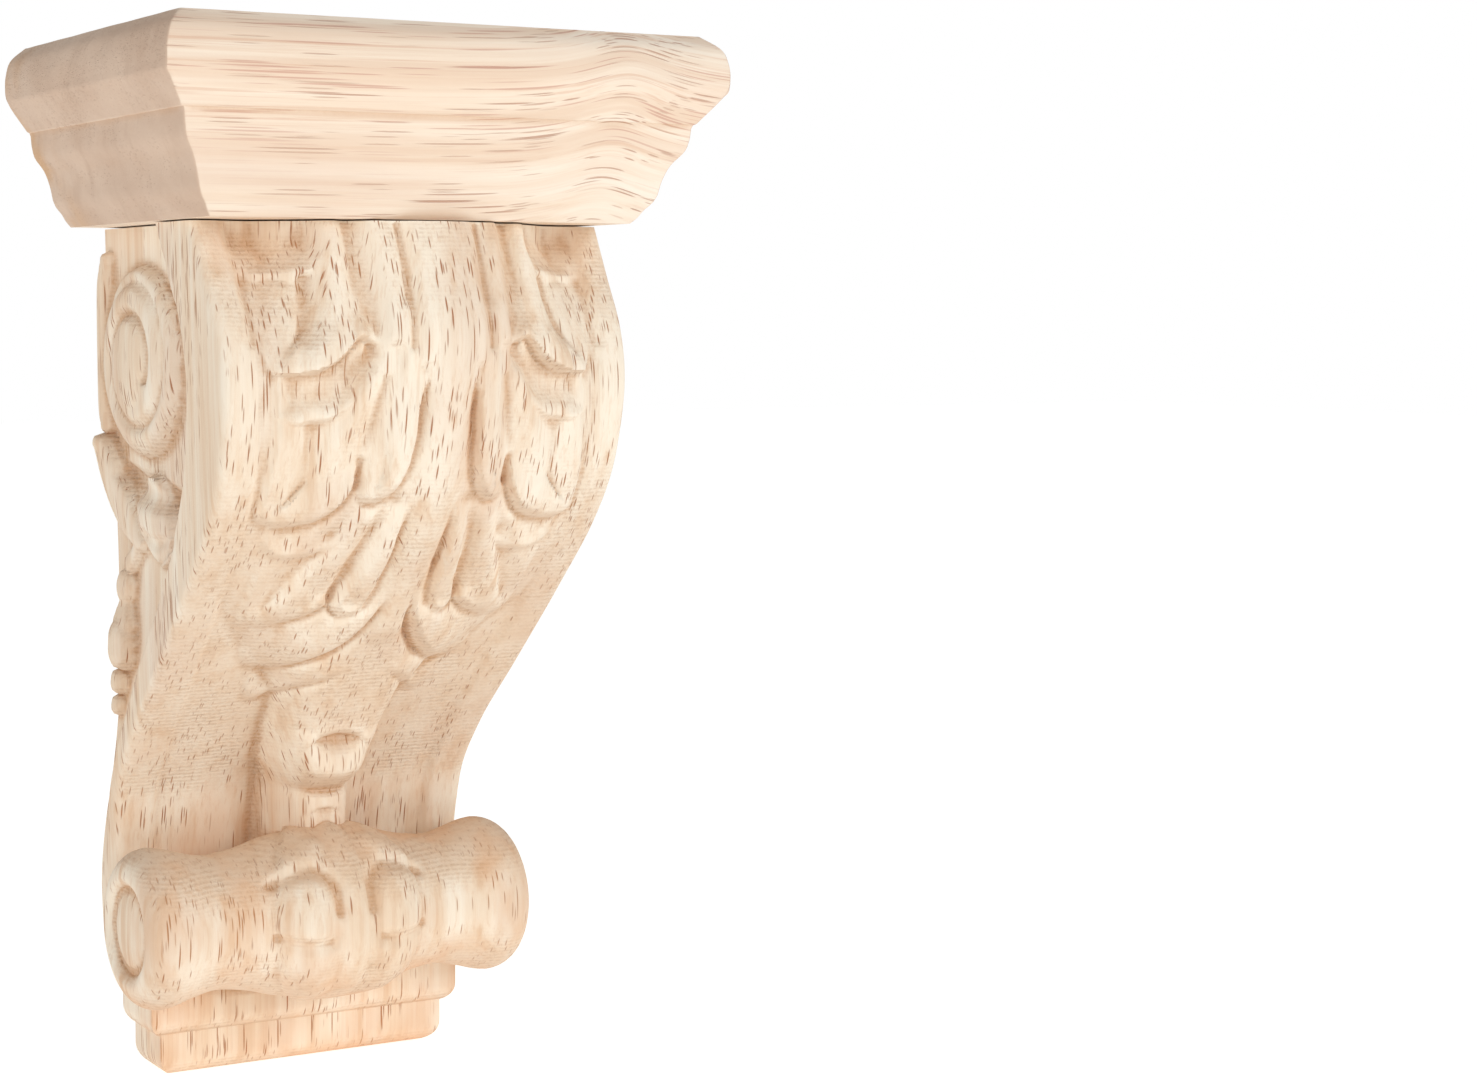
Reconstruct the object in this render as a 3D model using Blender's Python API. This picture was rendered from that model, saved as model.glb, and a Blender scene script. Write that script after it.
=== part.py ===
"""Carved wooden corbel: a leafy S-scroll bracket with a roll and a foot, under a moulded cap."""

import math

import bmesh
import bpy
import numpy as np

# Every size below is in millimetres, and MM turns it into metres.
# A drop is a distance down from the cap's top, a depth is a distance out from the wall.
MM = 0.001
HEIGHT = 200.0
GAP = 0.3

# The cap, one block with the same moulding on its front and both ends, glued on a little to the
# left.
CAP_HALF_WIDTH = 55.4
CAP_DEPTH = 80.3
CAP_HEIGHT = 33.7
CAP_SHIFT = -0.7

# The cap's moulding from the top down, as (drop, inset from its widest) for the two curved parts
# and (inset, drop) for the flat band between them and for the bead at the bottom.
NOSE_LINE = [(0, 4.1), (2.2, 1.4), (5.2, 0.2), (7.6, 0.0), (9.9, 0.3), (10.5, 0.6), (15.7, 4.3)]
NOSE_STEPS = 12
CAP_BAND = [(5.0, 16.2), (5.2, 18.4)]
OGEE_LINE = [(18.4, 5.2), (20.6, 5.8), (23.0, 7.6), (25.6, 8.7), (28.6, 9.4)]
OGEE_START = 19.4
OGEE_STEPS = 7
CAP_BEAD = [(10.0, 29.9), (11.2, 31.3), (12.0, 32.6), (13.0, CAP_HEIGHT)]

# The bracket's front edge line, as (drop, depth), and its half width, which narrows downward.
EDGE_LINE = [(34, 55.8), (44, 61.3), (52, 65.8), (61, 68.3), (71, 67.5), (80.5, 64.6), (89.3, 59.1),
             (101.7, 48.1), (119.3, 31.2), (133.3, 17.6), (143, 10.8), (151, 8.6), (180, 8.5)]
TOP_HALF_WIDTH = 42.9
WIDTH_TAPER = 0.03
CORNER_RADIUS = 2.4
BRACKET_END = 172.0

# The plain band along each front edge, and the field that lies lower between the bands.
BAND_WIDTH = [(34, 5.0), (70, 5.4), (100, 6.0), (120, 7.0), (180, 7.0)]
FIELD_DEPTH = 0.9
FIELD_SLOPE = 2.0

# The leaf stands on a swelling, given by drop: its lift at the middle, its half width, and how
# square its section is.
SWELL_LIFT = [(34, 15.6), (39, 15.2), (46, 13.8), (53, 12.0), (60, 9.4), (66, 7.6), (72, 6.9),
              (90, 7.2), (110, 8.8), (120, 9.8), (126, 11.0), (131, 12.4), (136, 14.4),
              (140, 16.2), (141.4, 15.4), (142.6, 13.6), (145, 14.6), (152, 16.0), (180, 16.2)]
SWELL_WIDTH = [(34, 30), (54, 30), (62, 32), (72, 36), (90, 36), (101, 33), (111, 25), (118, 17.0),
               (122.5, 14.2), (126, 13.2), (130, 12.6), (134, 11.6), (137, 11.0), (139, 10.2),
               (141.5, 9.2), (145, 9.0), (180, 9.0)]
SWELL_POWER = [(34, 1.6), (104, 1.6), (116, 2.4), (124, 3.6), (132, 4.6), (142, 5.0), (146, 5.5),
               (180, 5.5)]

# The side panel lies behind a rim that follows the front edge, given by drop.
RIM_WIDTH = [(34, 15.5), (85, 15.5), (100, 12.0), (119, 9.0), (131, 6.0), (143, 4.0), (158, 3.0),
             (180, 3.0)]
PANEL_DEPTH = [(34, 5.8), (71, 5.6), (93, 6.2), (110, 5.9), (131, 4.7), (141, 3.2), (150, 1.5),
               (158, 0.4), (180, 0.4)]
PANEL_SLOPE = [(34, 7.0), (48, 4.0), (60, 1.6), (90, 1.8), (110, 3.0), (150, 4.0), (180, 4.0)]

# The side's volute.
VOLUTE_DEPTH = 20.4
VOLUTE_DROP = 59.4
VOLUTE_RADIUS = 18.0
VOLUTE_RISE = 3.9
VOLUTE_TURNS = 1.6
VOLUTE_EYE = (5.6, 8.6)
VOLUTE_EYE_RISE = 0.9
VOLUTE_EDGE = 1.5
GROOVE_DEPTH = 1.1
GROOVE_WIDTH = 1.1

# The roll across the foot of the scroll.
ROLL_DEPTH = 20.5
ROLL_DROP = 167.8
ROLL_RADIUS = 15.5
ROLL_NECK = 2.4
ROLL_HALF_LENGTH = 41.2
ROLL_SHOULDER = 35.6
ROLL_FACE_RADIUS = 10.2

# How far the roll's turned outline lies outside its radius, by distance from the middle, and the
# rings of its dished end as (distance in from the end, radius).
ROLL_OUTLINE = [(0, 0.6), (10, 0.2), (18, 0.6 - ROLL_NECK), (25, -ROLL_NECK), (30, -1.3), (34, -0.2),
                (ROLL_SHOULDER, 0.0)]
ROLL_END = [(0.7, 9.0), (1.5, 8.4), (1.4, 7.4), (0.9, 6.4), (0.6, 4.2), (0.5, 1.8)]
ROLL_STEPS = 24
ROLL_END_STEPS = 5
LEAF_REACH = 30.0

# The foot, as (half width, depth, first drop, last drop, edge radius).
FOOT_UPPER = (33.6, 15.2, 166.0, 191.6, 4.0)
FOOT_LOWER = (31.0, 13.2, 184.0, 200.0, 4.4)

# How finely the carving is worked before it is simplified, and how many triangles it keeps.
CARVED_BEVEL = 0.9
CUT_REACH = 1.7
STROKE_STEPS = 28
LINE_STEPS = 40
LEAST_DISTANCE = 0.001
END_FADE = 1.6
COVERED = 1.4
SIDE_EDGE_SHARE = 0.35
ROLL_EDGE_SHARE = 0.6
LEVELS = 124
FRONT_COLUMNS = 96
SIDE_COLUMNS = 44
CORNER_STEPS = 3
ROLL_SIDES = 48
BODY_TRIANGLES = 9300
MERGE_DISTANCE = 0.001

# The leaf's lobes lie over one another. A lobe is its edge line as (distance from the middle,
# drop), and then values spread evenly along it: its thickness, how far it thins inward, the
# hollow outside its edge, and that hollow's width.
LEAF_LOBES = [
    # first tier: the folded lobe beside the rim, and the small step under it
    ([(14.4, 55.4), (16.5, 54.4), (18.5, 56.4), (20.8, 58.8), (24, 60.4), (28, 61.2), (31.6, 60.9),
      (32.8, 58), (32.5, 53), (31.4, 47), (31.0, 43.6)],
     (0.8, 2.0, 2.2, 2.1, 1.7, 1.2, 0.8, 0.6, 0.3), (2, 7, 13, 14, 8, 5, 3, 3, 3),
     (1.8, 2.0, 1.0, 0.3, 0.2, 0.2, 0.1, 0, 0), (2.5, 3.5, 4, 3, 2, 2, 2, 2, 2)),
    ([(16.8, 64.6), (18.6, 66.8), (21.2, 68.8), (25, 69.6), (29, 69.5), (31.2, 68.4), (31.5, 65),
      (31.2, 61.8)],
     (0, 0.9, 1.2, 1.2, 1.1, 0.9, 0.8, 0.5), (3, 4, 5, 5, 5, 4, 3, 3),
     (0, 0.3, 0.3, 0.2, 0.2, 0.2, 0.2, 0.2), (2, 2, 2, 2, 2, 2, 2, 2)),
    # second tier: the inner finger, the broad lobe and its step
    ([(5.0, 60.5), (5.6, 64), (6.0, 70), (6.3, 75), (7.3, 79.5), (9.4, 82.6), (12, 83.9),
      (13.8, 83.2), (14.7, 80.8), (15.0, 78.2)],
     (0, 1.2, 2.0, 2.2, 2.2, 2.2, 2.0, 1.6, 1.0, 0), (2, 4, 6, 7, 8, 8, 8, 5, 3, 2),
     (0, 1.8, 2.0, 1.6, 1.2, 0.8, 0.6, 0.8, 1.0, 0.6), (1, 3.2, 3.4, 3.0, 2.4, 2, 2, 2, 1.5, 1)),
    ([(15.2, 77.6), (15.7, 80.4), (17.6, 84.2), (21, 86.9), (25.5, 87.9), (29.6, 87.8), (31.8, 86.5),
      (32.2, 82), (31.6, 75), (31, 70.2)],
     (0.8, 1.8, 2.2, 2.2, 2.0, 1.8, 1.4, 1.2, 1.0, 0.6), (2, 5, 9, 12, 14, 10, 6, 4, 3, 3),
     (1.4, 1.6, 1.2, 0.6, 0.2, 0.2, 0.2, 0.3, 0.3, 0.2), (1.5, 2.5, 2.5, 2.5, 2, 2, 2, 2, 2, 2)),
    ([(14.5, 90.0), (17, 92.3), (20, 93.8), (23.5, 94.2), (27, 93.7), (29.3, 92), (29.8, 88.6)],
     (0, 0.8, 1.2, 1.3, 1.2, 1.0, 0.6), (3, 4, 5, 5, 5, 4, 3),
     (0, 0.3, 0.2, 0.2, 0.2, 0.2, 0.2), (2, 2, 2, 2, 2, 2, 2)),
    # third tier
    ([(4.4, 84), (5.2, 89), (5.6, 95), (6.0, 100.5), (7.0, 104), (9.2, 105.6), (11.4, 104.8),
      (12.6, 102.4), (12.9, 100)],
     (0, 1.6, 2.2, 2.4, 2.4, 2.2, 1.8, 1.2, 0.4), (2, 4, 6, 7, 7, 6, 5, 3, 2),
     (0, 1.2, 2.4, 3.0, 2.0, 1.0, 1.2, 1.8, 1.0), (1, 2.4, 3, 3.4, 2.8, 2, 2, 2, 1)),
    ([(12.9, 100), (13.3, 102.6), (15.6, 104.8), (19.5, 106.4), (24, 107.7), (27.2, 107.0),
      (28.5, 104.5), (28.6, 99.5), (29, 95)],
     (0.4, 1.4, 1.7, 1.6, 1.4, 1.3, 1.1, 0.8, 0.4), (2, 5, 8, 9, 8, 6, 5, 4, 3),
     (1.4, 2.0, 1.2, 0.6, 0.3, 0.2, 0.3, 0.4, 0.2), (1.5, 2.4, 2.4, 2.2, 2, 2, 2, 2, 2)),
    # fourth and fifth tiers
    ([(3.0, 101), (3.8, 105.5), (6.2, 109.6), (9.8, 113.2), (14, 115.5), (18.5, 116.5), (22, 115.8),
      (24, 113.4), (25.2, 109.6)],
     (0, 1.8, 2.6, 2.6, 2.2, 1.6, 1.2, 0.9, 0.4), (2, 4, 6, 7, 7, 6, 5, 4, 3),
     (0, 2.4, 3.6, 3.2, 1.8, 0.8, 0.3, 0.2, 0.2), (1, 2.6, 3.6, 3.8, 3.2, 2.6, 2, 2, 2)),
    ([(4.6, 117.6), (8.6, 119.4), (12.6, 121.2), (15.6, 123.2), (17.8, 124.0), (19.6, 122.0),
      (20.6, 118.6)],
     (0.4, 1.0, 1.3, 1.4, 1.3, 1.1, 0.6), (2, 4, 5, 5, 4, 4, 3),
     (0.4, 1.4, 1.6, 1.2, 0.4, 0.3, 0.2), (1, 2.4, 2.6, 2.4, 2, 2, 2)),
    # the tongue's rim, then the upper edges of its two spoons
    ([(0, 140.9), (3.8, 140.4), (7.0, 138.4), (9.0, 135.0), (10.0, 131), (10.4, 126), (10.2, 119)],
     (0.3, 0.5, 0.8, 1.1, 1.1, 0.7, 0), (4.0, 5.0, 5.5, 5.5, 5.0, 4.0, 3),
     (0, 0, 0, 0, 0, 0, 0), (1, 1, 1, 1, 1, 1, 1)),
    ([(0, 131.0), (2.8, 131.3), (5.2, 132.3), (7.0, 134.0)],
     (0.4, 0.4, 0.2, 0), (3, 3, 3, 2), (2.7, 2.5, 1.4, 0), (7.5, 7.0, 4.5, 2)),
    ([(0, 146.6), (2.2, 146.9), (4.0, 148.0)],
     (0.2, 0.1, 0), (2, 2, 2), (1.3, 0.9, 0), (5.5, 5, 3)),
]

# A swell is (points, height at its root and at its tip) and a cut is the same with depths. A
# point is (distance from the middle, drop, half width).
LEAF_SWELLS = [
    ([(0, 34, 3.4), (0, 52, 4.0), (0, 62, 5.6), (0, 85, 5.4), (0, 108, 4.6)], (0.6, 1.8)),
    ([(4.8, 34, 2.0), (4.9, 46, 2.3), (5.2, 58, 2.0)], (0.7, 0.8)),
    ([(11.6, 34, 2.2), (11.2, 44, 2.4), (11.0, 54, 2.2), (11.4, 60, 2.0)], (1.2, 1.0)),
    ([(19.2, 34, 3.2), (20.0, 44, 3.6), (21.6, 52, 3.8), (24.6, 58, 3.6)], (1.7, 1.2)),
    ([(28.4, 46, 2.6), (29.0, 53, 3.0), (29.4, 59, 2.6)], (1.0, 0.9)),
    ([(23.4, 42.7, 1.5), (27.6, 43.3, 1.7), (31.6, 43.4, 1.5)], (0.8, 0.9)),
    ([(9.0, 50, 3.0), (9.6, 62, 3.8), (10, 72, 4.2), (10.8, 80, 3.8)], (0.7, 1.1)),
    ([(14.5, 62, 3.2), (18, 71, 4.0), (21, 79, 4.0), (23, 84, 3.4)], (0.9, 1.0)),
    ([(28.5, 70, 3.8), (28.8, 78, 4.0), (28, 85, 3.4)], (0.7, 0.8)),
    ([(8.0, 86, 2.6), (8.6, 95, 3.2), (9.4, 101, 3.4)], (0.7, 1.2)),
    ([(12.5, 87, 2.6), (15.5, 94, 3.2), (19, 99.6, 3.6), (22.5, 104, 3.0)], (1.1, 0.9)),
    ([(25, 94, 2.8), (26.4, 100, 3.2), (26, 105, 2.6)], (0.4, 0.5)),
    ([(8.6, 105.6, 3.4), (12.6, 110, 4.8), (17.5, 112.6, 4.8), (21.5, 113.6, 3.2)], (1.3, 0.7)),
    ([(11, 116.6, 2.8), (15, 119.6, 3.6), (17.6, 121.8, 2.8)], (0.6, 0.7)),
    ([(0, 137.4, 4.0), (4.6, 136.4, 4.0), (7.8, 132.8, 3.0)], (1.3, 0.8)),
]
LEAF_CUTS = [
    ([(15.6, 33, 1.9), (15.2, 42, 2.1), (14.3, 50, 1.9), (13.8, 55, 1.1)], (1.6, 1.2)),
    ([(7.8, 35, 0.7), (7.6, 45, 0.9), (7.9, 56, 0.7)], (1.1, 1.0)),
    ([(14.6, 57.2, 1.5), (17.0, 59.8, 2.0), (20, 62, 2.4), (24, 64, 2.4), (27.5, 63.6, 2.0)],
     (2.4, 1.0)),
    ([(23.8, 44.5, 1.2), (24.2, 49, 1.5), (25.6, 54.5, 1.2)], (1.3, 1.0)),
    ([(34.0, 45, 1.2), (35.0, 55, 1.2)], (0.6, 0.5)),
    ([(11.2, 57, 1.6), (12.6, 64, 2.0), (14.2, 70, 2.2), (18, 76.5, 2.6), (22.5, 82, 2.6)],
     (1.2, 1.5)),
    ([(15, 76.5, 0.9), (14.8, 80, 1.1)], (1.2, 1.6)),
    ([(24.5, 70, 2.0), (26, 78, 2.2), (26.8, 84, 2.4)], (0.9, 0.2)),
    ([(7.4, 83.5, 1.3), (9.6, 89.5, 1.6), (11.2, 95, 1.7), (13.0, 101.6, 1.2)], (1.5, 2.0)),
    ([(17.5, 90, 1.5), (21.5, 96, 1.9), (25.6, 102.5, 2.2)], (1.0, 0.5)),
    ([(23.5, 37.6, 2.4), (28, 38.2, 2.8), (33, 37.6, 2.4)], (2.0, 1.7)),
    ([(0, 117, 3.6), (0, 124, 4.4), (0, 130, 4.4)], (0.5, 1.2)),
    ([(0, 143.6, 0.6), (8, 143.2, 0.6)], (0.4, 0.2)),
]

# The side's husk and its pendant, as strokes of (depth from the wall, drop, half width) and
# (height at the root, height at the tip), and the hollows cut in them.
SIDE_STROKES = [
    ([(2.6, 40, 2.0), (0.6, 48, 3.4), (0.2, 58, 4.2), (0.4, 66, 3.2), (1.4, 72, 1.8)], (2.0, 2.6)),
    ([(15, 94, 2.2), (9.5, 89.5, 4.4), (4.6, 84, 4.8), (1.0, 77.6, 4.0), (0.4, 75.6, 2.6)],
     (2.0, 4.2)),
    ([(23.0, 87.6, 7.4), (26.0, 91.0, 6.6), (27.6, 94.0, 3.8)], (3.4, 2.6)),
    ([(28.4, 97.4, 1.2), (34.6, 93.4, 1.5), (38.6, 87.6, 1.2)], (2.6, 2.0)),
    ([(13.4, 94.5, 1.6), (8.6, 98.4, 2.4)], (1.6, 1.8)),
    ([(6.8, 102.6, 3.4), (6.4, 103.4, 3.6)], (2.6, 2.6)),
    ([(6.3, 105.5, 2.4), (6.0, 110.5, 4.2)], (1.8, 3.2)),
    ([(5.8, 113.4, 4.4), (5.6, 115.6, 4.4)], (4.2, 4.2)),
    ([(3.4, 121.6, 2.6), (3.2, 122.4, 2.6)], (2.9, 2.9)),
    ([(1.8, 126.6, 2.2), (1.6, 127.2, 2.2)], (2.0, 2.0)),
]
SIDE_CUTS = [
    ([(8, 80.6, 1.4), (18, 83.2, 2.2), (30, 84.8, 2.2), (38, 85.2, 1.2)], (1.6, 2.0)),
    ([(20, 91.6, 0.9), (25, 93.2, 1.2), (30, 92.4, 0.9)], (0.8, 0.6)),
]

# The leaf on the roll, as strokes of (distance from the middle, degrees above the roll's front,
# half width in mm) and (height at the root, height at the tip). The swells lie on its outline.
ROLL_STROKES = [
    ([(0, 88, 7.5), (0, 40, 14.0), (0, 5, 15.2), (0, -25, 14.6), (0, -50, 10.5), (0, -72, 7.0)],
     (1.5, 1.2)),
]
ROLL_SWELLS = [
    ([(0, 80, 3.0), (0, 20, 2.8), (0, -40, 3.2)], (1.0, 1.2)),
    ([(9.6, 27, 5.0), (10.0, 14, 6.4), (9.8, 2, 5.4)], (1.5, 1.7)),
    ([(5.0, -14, 3.4), (9.0, -28, 5.6), (7.4, -46, 4.4)], (0.9, 0.9)),
    ([(6.0, 60, 3.0), (9.4, 52, 3.4), (14.0, 47, 2.6)], (0.9, 0.6)),
]
ROLL_CUTS = [
    ([(3.6, 12, 1.2), (3.8, 26, 1.5), (6.0, 37, 1.5), (10.5, 39.5, 1.3), (16.0, 37, 1.0)],
     (1.0, 0.9)),
    ([(5.5, -8.0, 0.9), (10.5, -8.5, 1.0), (15.4, -5.0, 0.9)], (1.0, 0.9)),
]

WOOD = (0.80, 0.62, 0.44)
END_WOOD = (0.70, 0.55, 0.40)


def height_of(drop):
    """World height, with the origin half way down the back."""
    return HEIGHT / 2 - drop


def smooth_line(points, at):
    """A smooth curve through a few (position, value) points."""
    places, values = np.array(points, dtype=float).T
    slopes = np.gradient(values, places)
    at = np.clip(at, places[0], places[-1])
    k = np.clip(np.searchsorted(places, at, side="right") - 1, 0, len(places) - 2)
    span = places[k + 1] - places[k]
    t = (at - places[k]) / span
    rest = 1 - t
    return ((1 + 2 * t) * rest**2 * values[k] + t * rest**2 * span * slopes[k]
            + t**2 * (3 - 2 * t) * values[k + 1] - t**2 * rest * span * slopes[k + 1])


def ease(t):
    """0 up to t = 0, 1 from t = 1, and a soft step between."""
    t = np.clip(t, 0, 1)
    return t * t * (3 - 2 * t)


def stroke_field(points, across, along, steps=STROKE_STEPS):
    """Nearness to a tapering stroke, 0 on its spine and 1 at its edge, with the place along it
    and its half width there."""
    stations = np.arange(len(points), dtype=float)
    walk = np.linspace(0, stations[-1], steps)
    lines = [smooth_line(list(zip(stations, column)), walk) if len(points) > 2
             else np.interp(walk, stations, column) for column in zip(*points)]
    nearness = np.full(across.shape, np.inf)
    place = np.zeros(across.shape)
    width = np.ones(across.shape)
    for k in range(steps):
        ratio = np.hypot(across - lines[0][k], along - lines[1][k]) / lines[2][k]
        closer = ratio < nearness
        nearness = np.where(closer, ratio, nearness)
        place = np.where(closer, k / (steps - 1), place)
        width = np.where(closer, lines[2][k], width)
    return nearness, place, width


def raised(points, edge, crest, across, along, bevel):
    """Height of a rounded stroke whose edge falls off over the bevel's width."""
    near, place, width = stroke_field(points, across, along)
    dome = np.sqrt(np.clip(1 - near**2, 0, 1))
    height = edge[0] + (edge[1] - edge[0]) * place + (crest[0] + (crest[1] - crest[0]) * place) * dome
    return height * ease((1 - near) * width / bevel)


def sunk(points, depth, across, along):
    """Depth of a soft cut along a stroke, which fades out a little past its half width."""
    near, place, width = stroke_field(points, across, along)
    return (depth[0] + (depth[1] - depth[0]) * place) * np.clip(1 - (near / CUT_REACH)**2, 0, 1)**2


def swelled(points, height, across, along):
    """Height of a soft swell that dies away to nothing at its edge."""
    near, place, width = stroke_field(points, across, along)
    return (height[0] + (height[1] - height[0]) * place) * np.clip(1 - near**2, 0, 1)**1.5


def line_field(points, across, along, steps=LINE_STEPS):
    """Signed distance to a line, positive on the leaf's side, the place along it, and how
    squarely a point lies beside it."""
    spans = [math.dist(a, b) for a, b in zip(points, points[1:])]
    stations = np.concatenate([[0], np.cumsum(spans)])
    walk = np.linspace(0, stations[-1], steps)
    line_x = smooth_line(list(zip(stations, [a for a, b in points])), walk)
    line_y = smooth_line(list(zip(stations, [b for a, b in points])), walk)
    along_x, along_y = np.gradient(line_x), np.gradient(line_y)
    distance = np.full(across.shape, np.inf)
    place = np.zeros(across.shape)
    signed = np.zeros(across.shape)
    for k in range(steps):
        aside, ahead = across - line_x[k], along - line_y[k]
        far = np.hypot(aside, ahead)
        closer = far < distance
        distance = np.where(closer, far, distance)
        place = np.where(closer, k / (steps - 1), place)
        size = math.hypot(along_x[k], along_y[k])
        signed = np.where(closer, (along_y[k] * aside - along_x[k] * ahead) / size, signed)
    square = np.clip(np.abs(signed) / np.maximum(distance, LEAST_DISTANCE), 0, 1)
    return np.where(signed > 0, distance, -distance), place, square


def spread(values, place):
    return np.interp(place, np.linspace(0, 1, len(values)), values)


def lobe(shape, across, along, bevel):
    """A lobe's height, thickest at its crisp edge, and the depth of the hollow outside it."""
    line, thickness, reach, depth, width = shape
    signed, place, square = line_field(line, across, along)
    fade = ease(square * END_FADE)
    inside = spread(thickness, place) * np.clip(1 - signed / spread(reach, place), 0, 1)**1.3
    inside = inside * ease(signed / bevel) * fade
    outside = np.clip(1 + signed / spread(width, place), 0, 1)**2 * ease(-signed / bevel)
    hollow = spread(depth, place) * outside * fade
    return np.where(signed > 0, inside, 0), np.where(signed > 0, 0, hollow)


def front_relief(x, drop, half_width):
    """How far the carved front stands out from the edge line."""
    aside = np.abs(x)
    band = smooth_line(BAND_WIDTH, drop)
    field = -FIELD_DEPTH * ease((half_width - band - aside) / FIELD_SLOPE)
    reach = smooth_line(SWELL_WIDTH, drop)
    power = smooth_line(SWELL_POWER, drop)
    swell = smooth_line(SWELL_LIFT, drop) * (1 - np.clip(aside / reach, 0, 1)**power)
    leaf = np.zeros(aside.shape)
    hollow = np.zeros(aside.shape)
    for shape in LEAF_LOBES:
        stands, sinks = lobe(shape, aside, drop, CARVED_BEVEL)
        hollow = np.maximum(hollow, sinks * np.clip(COVERED - leaf, 0, 1))
        leaf = np.maximum(leaf, stands)
    crests = np.zeros(aside.shape)
    for points, height in LEAF_SWELLS:
        crests = np.maximum(crests, swelled(points, height, aside, drop))
    cuts = np.zeros(aside.shape)
    for points, depth in LEAF_CUTS:
        cuts = cuts + sunk(points, depth, aside, drop)
    return field + swell + leaf + crests - hollow - cuts


def volute_relief(depth, drop):
    """The side's round volute, a low dome with a spiral groove and an eye."""
    dx = depth - VOLUTE_DEPTH
    dz = VOLUTE_DROP - drop
    radius = np.hypot(dx, dz)
    angle = np.mod(np.arctan2(dz, -dx), 2 * math.pi)
    rise = VOLUTE_RISE * np.sqrt(np.clip(1 - (radius / VOLUTE_RADIUS)**6, 0, 1))
    pitch = (VOLUTE_RADIUS - VOLUTE_EYE[1]) / VOLUTE_TURNS
    for turn in range(math.ceil(VOLUTE_TURNS)):
        wound = turn + angle / (2 * math.pi)
        line = VOLUTE_RADIUS - VOLUTE_EDGE - pitch * wound
        groove = GROOVE_DEPTH * np.exp(-((radius - line) / GROOVE_WIDTH)**2) * (wound < VOLUTE_TURNS)
        rise = rise - np.where(radius < VOLUTE_RADIUS, groove, 0)
    eye = np.hypot(dx / VOLUTE_EYE[0], dz / VOLUTE_EYE[1])
    return np.maximum(rise, 0) + VOLUTE_EYE_RISE * np.sqrt(np.clip(1 - eye**2, 0, 1))


def side_relief(depth, drop, full_depth):
    """How far the carved side stands out from the bracket's half width."""
    slope = smooth_line(PANEL_SLOPE, drop)
    rim = smooth_line(RIM_WIDTH, drop)
    panel = -smooth_line(PANEL_DEPTH, drop) * ease((full_depth - rim - depth) / slope)
    carving = volute_relief(depth, drop)
    for points, heights in SIDE_STROKES:
        edge = [SIDE_EDGE_SHARE * h for h in heights]
        crest = [(1 - SIDE_EDGE_SHARE) * h for h in heights]
        carving = np.maximum(carving, raised(points, edge, crest, depth, drop, CARVED_BEVEL))
    for points, depths in SIDE_CUTS:
        carving = carving - sunk(points, depths, depth, drop)
    return panel + carving


def principled(name, colour, roughness):
    material = bpy.data.materials.new(name)
    material.use_nodes = True
    shader = material.node_tree.nodes["Principled BSDF"]
    shader.inputs["Base Color"].default_value = (*colour, 1)
    shader.inputs["Roughness"].default_value = roughness
    shader.inputs["Metallic"].default_value = 0
    return material


def add_object(name, mesh, collection, material=None):
    item = bpy.data.objects.new(name, mesh)
    collection.objects.link(item)
    if material:
        mesh.materials.append(material)
    return item


def finish_mesh(name, shape):
    """Closes a bmesh up, turns its faces outward and makes it a mesh in metres."""
    bmesh.ops.remove_doubles(shape, verts=shape.verts, dist=MERGE_DISTANCE)
    bmesh.ops.recalc_face_normals(shape, faces=shape.faces)
    bmesh.ops.scale(shape, vec=(MM, MM, MM), verts=shape.verts)
    mesh = bpy.data.meshes.new(name)
    shape.to_mesh(mesh)
    shape.free()
    return mesh


def skin(shape, rings):
    """Faces between neighbouring closed rings of points, and a lid at each end."""
    loops = [[shape.verts.new(point) for point in ring] for ring in rings]
    count = len(loops[0])
    for upper, lower in zip(loops, loops[1:]):
        for k in range(count):
            after = (k + 1) % count
            shape.faces.new((upper[k], lower[k], lower[after], upper[after]))
    shape.faces.new(loops[0])
    shape.faces.new(reversed(loops[-1]))


def cap_profile():
    """The cap's moulding, top to bottom, as (inset from its widest, drop)."""
    drops = np.linspace(0, NOSE_LINE[-1][0], NOSE_STEPS)
    nose = list(zip(smooth_line(NOSE_LINE, drops), drops))
    drops = np.linspace(OGEE_START, OGEE_LINE[-1][0], OGEE_STEPS)
    ogee = list(zip(smooth_line(OGEE_LINE, drops), drops))
    return nose + CAP_BAND + ogee + CAP_BEAD


def make_cap(collection, material):
    shape = bmesh.new()
    rings = []
    for inset, drop in cap_profile():
        side = CAP_HALF_WIDTH - inset
        front = inset - CAP_DEPTH
        z = height_of(drop)
        left, right = CAP_SHIFT - side, CAP_SHIFT + side
        rings.append([(left, 0, z), (left, front, z), (right, front, z), (right, 0, z)])
    skin(shape, rings)
    return add_object("cap", finish_mesh("cap", shape), collection, material)


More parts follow.
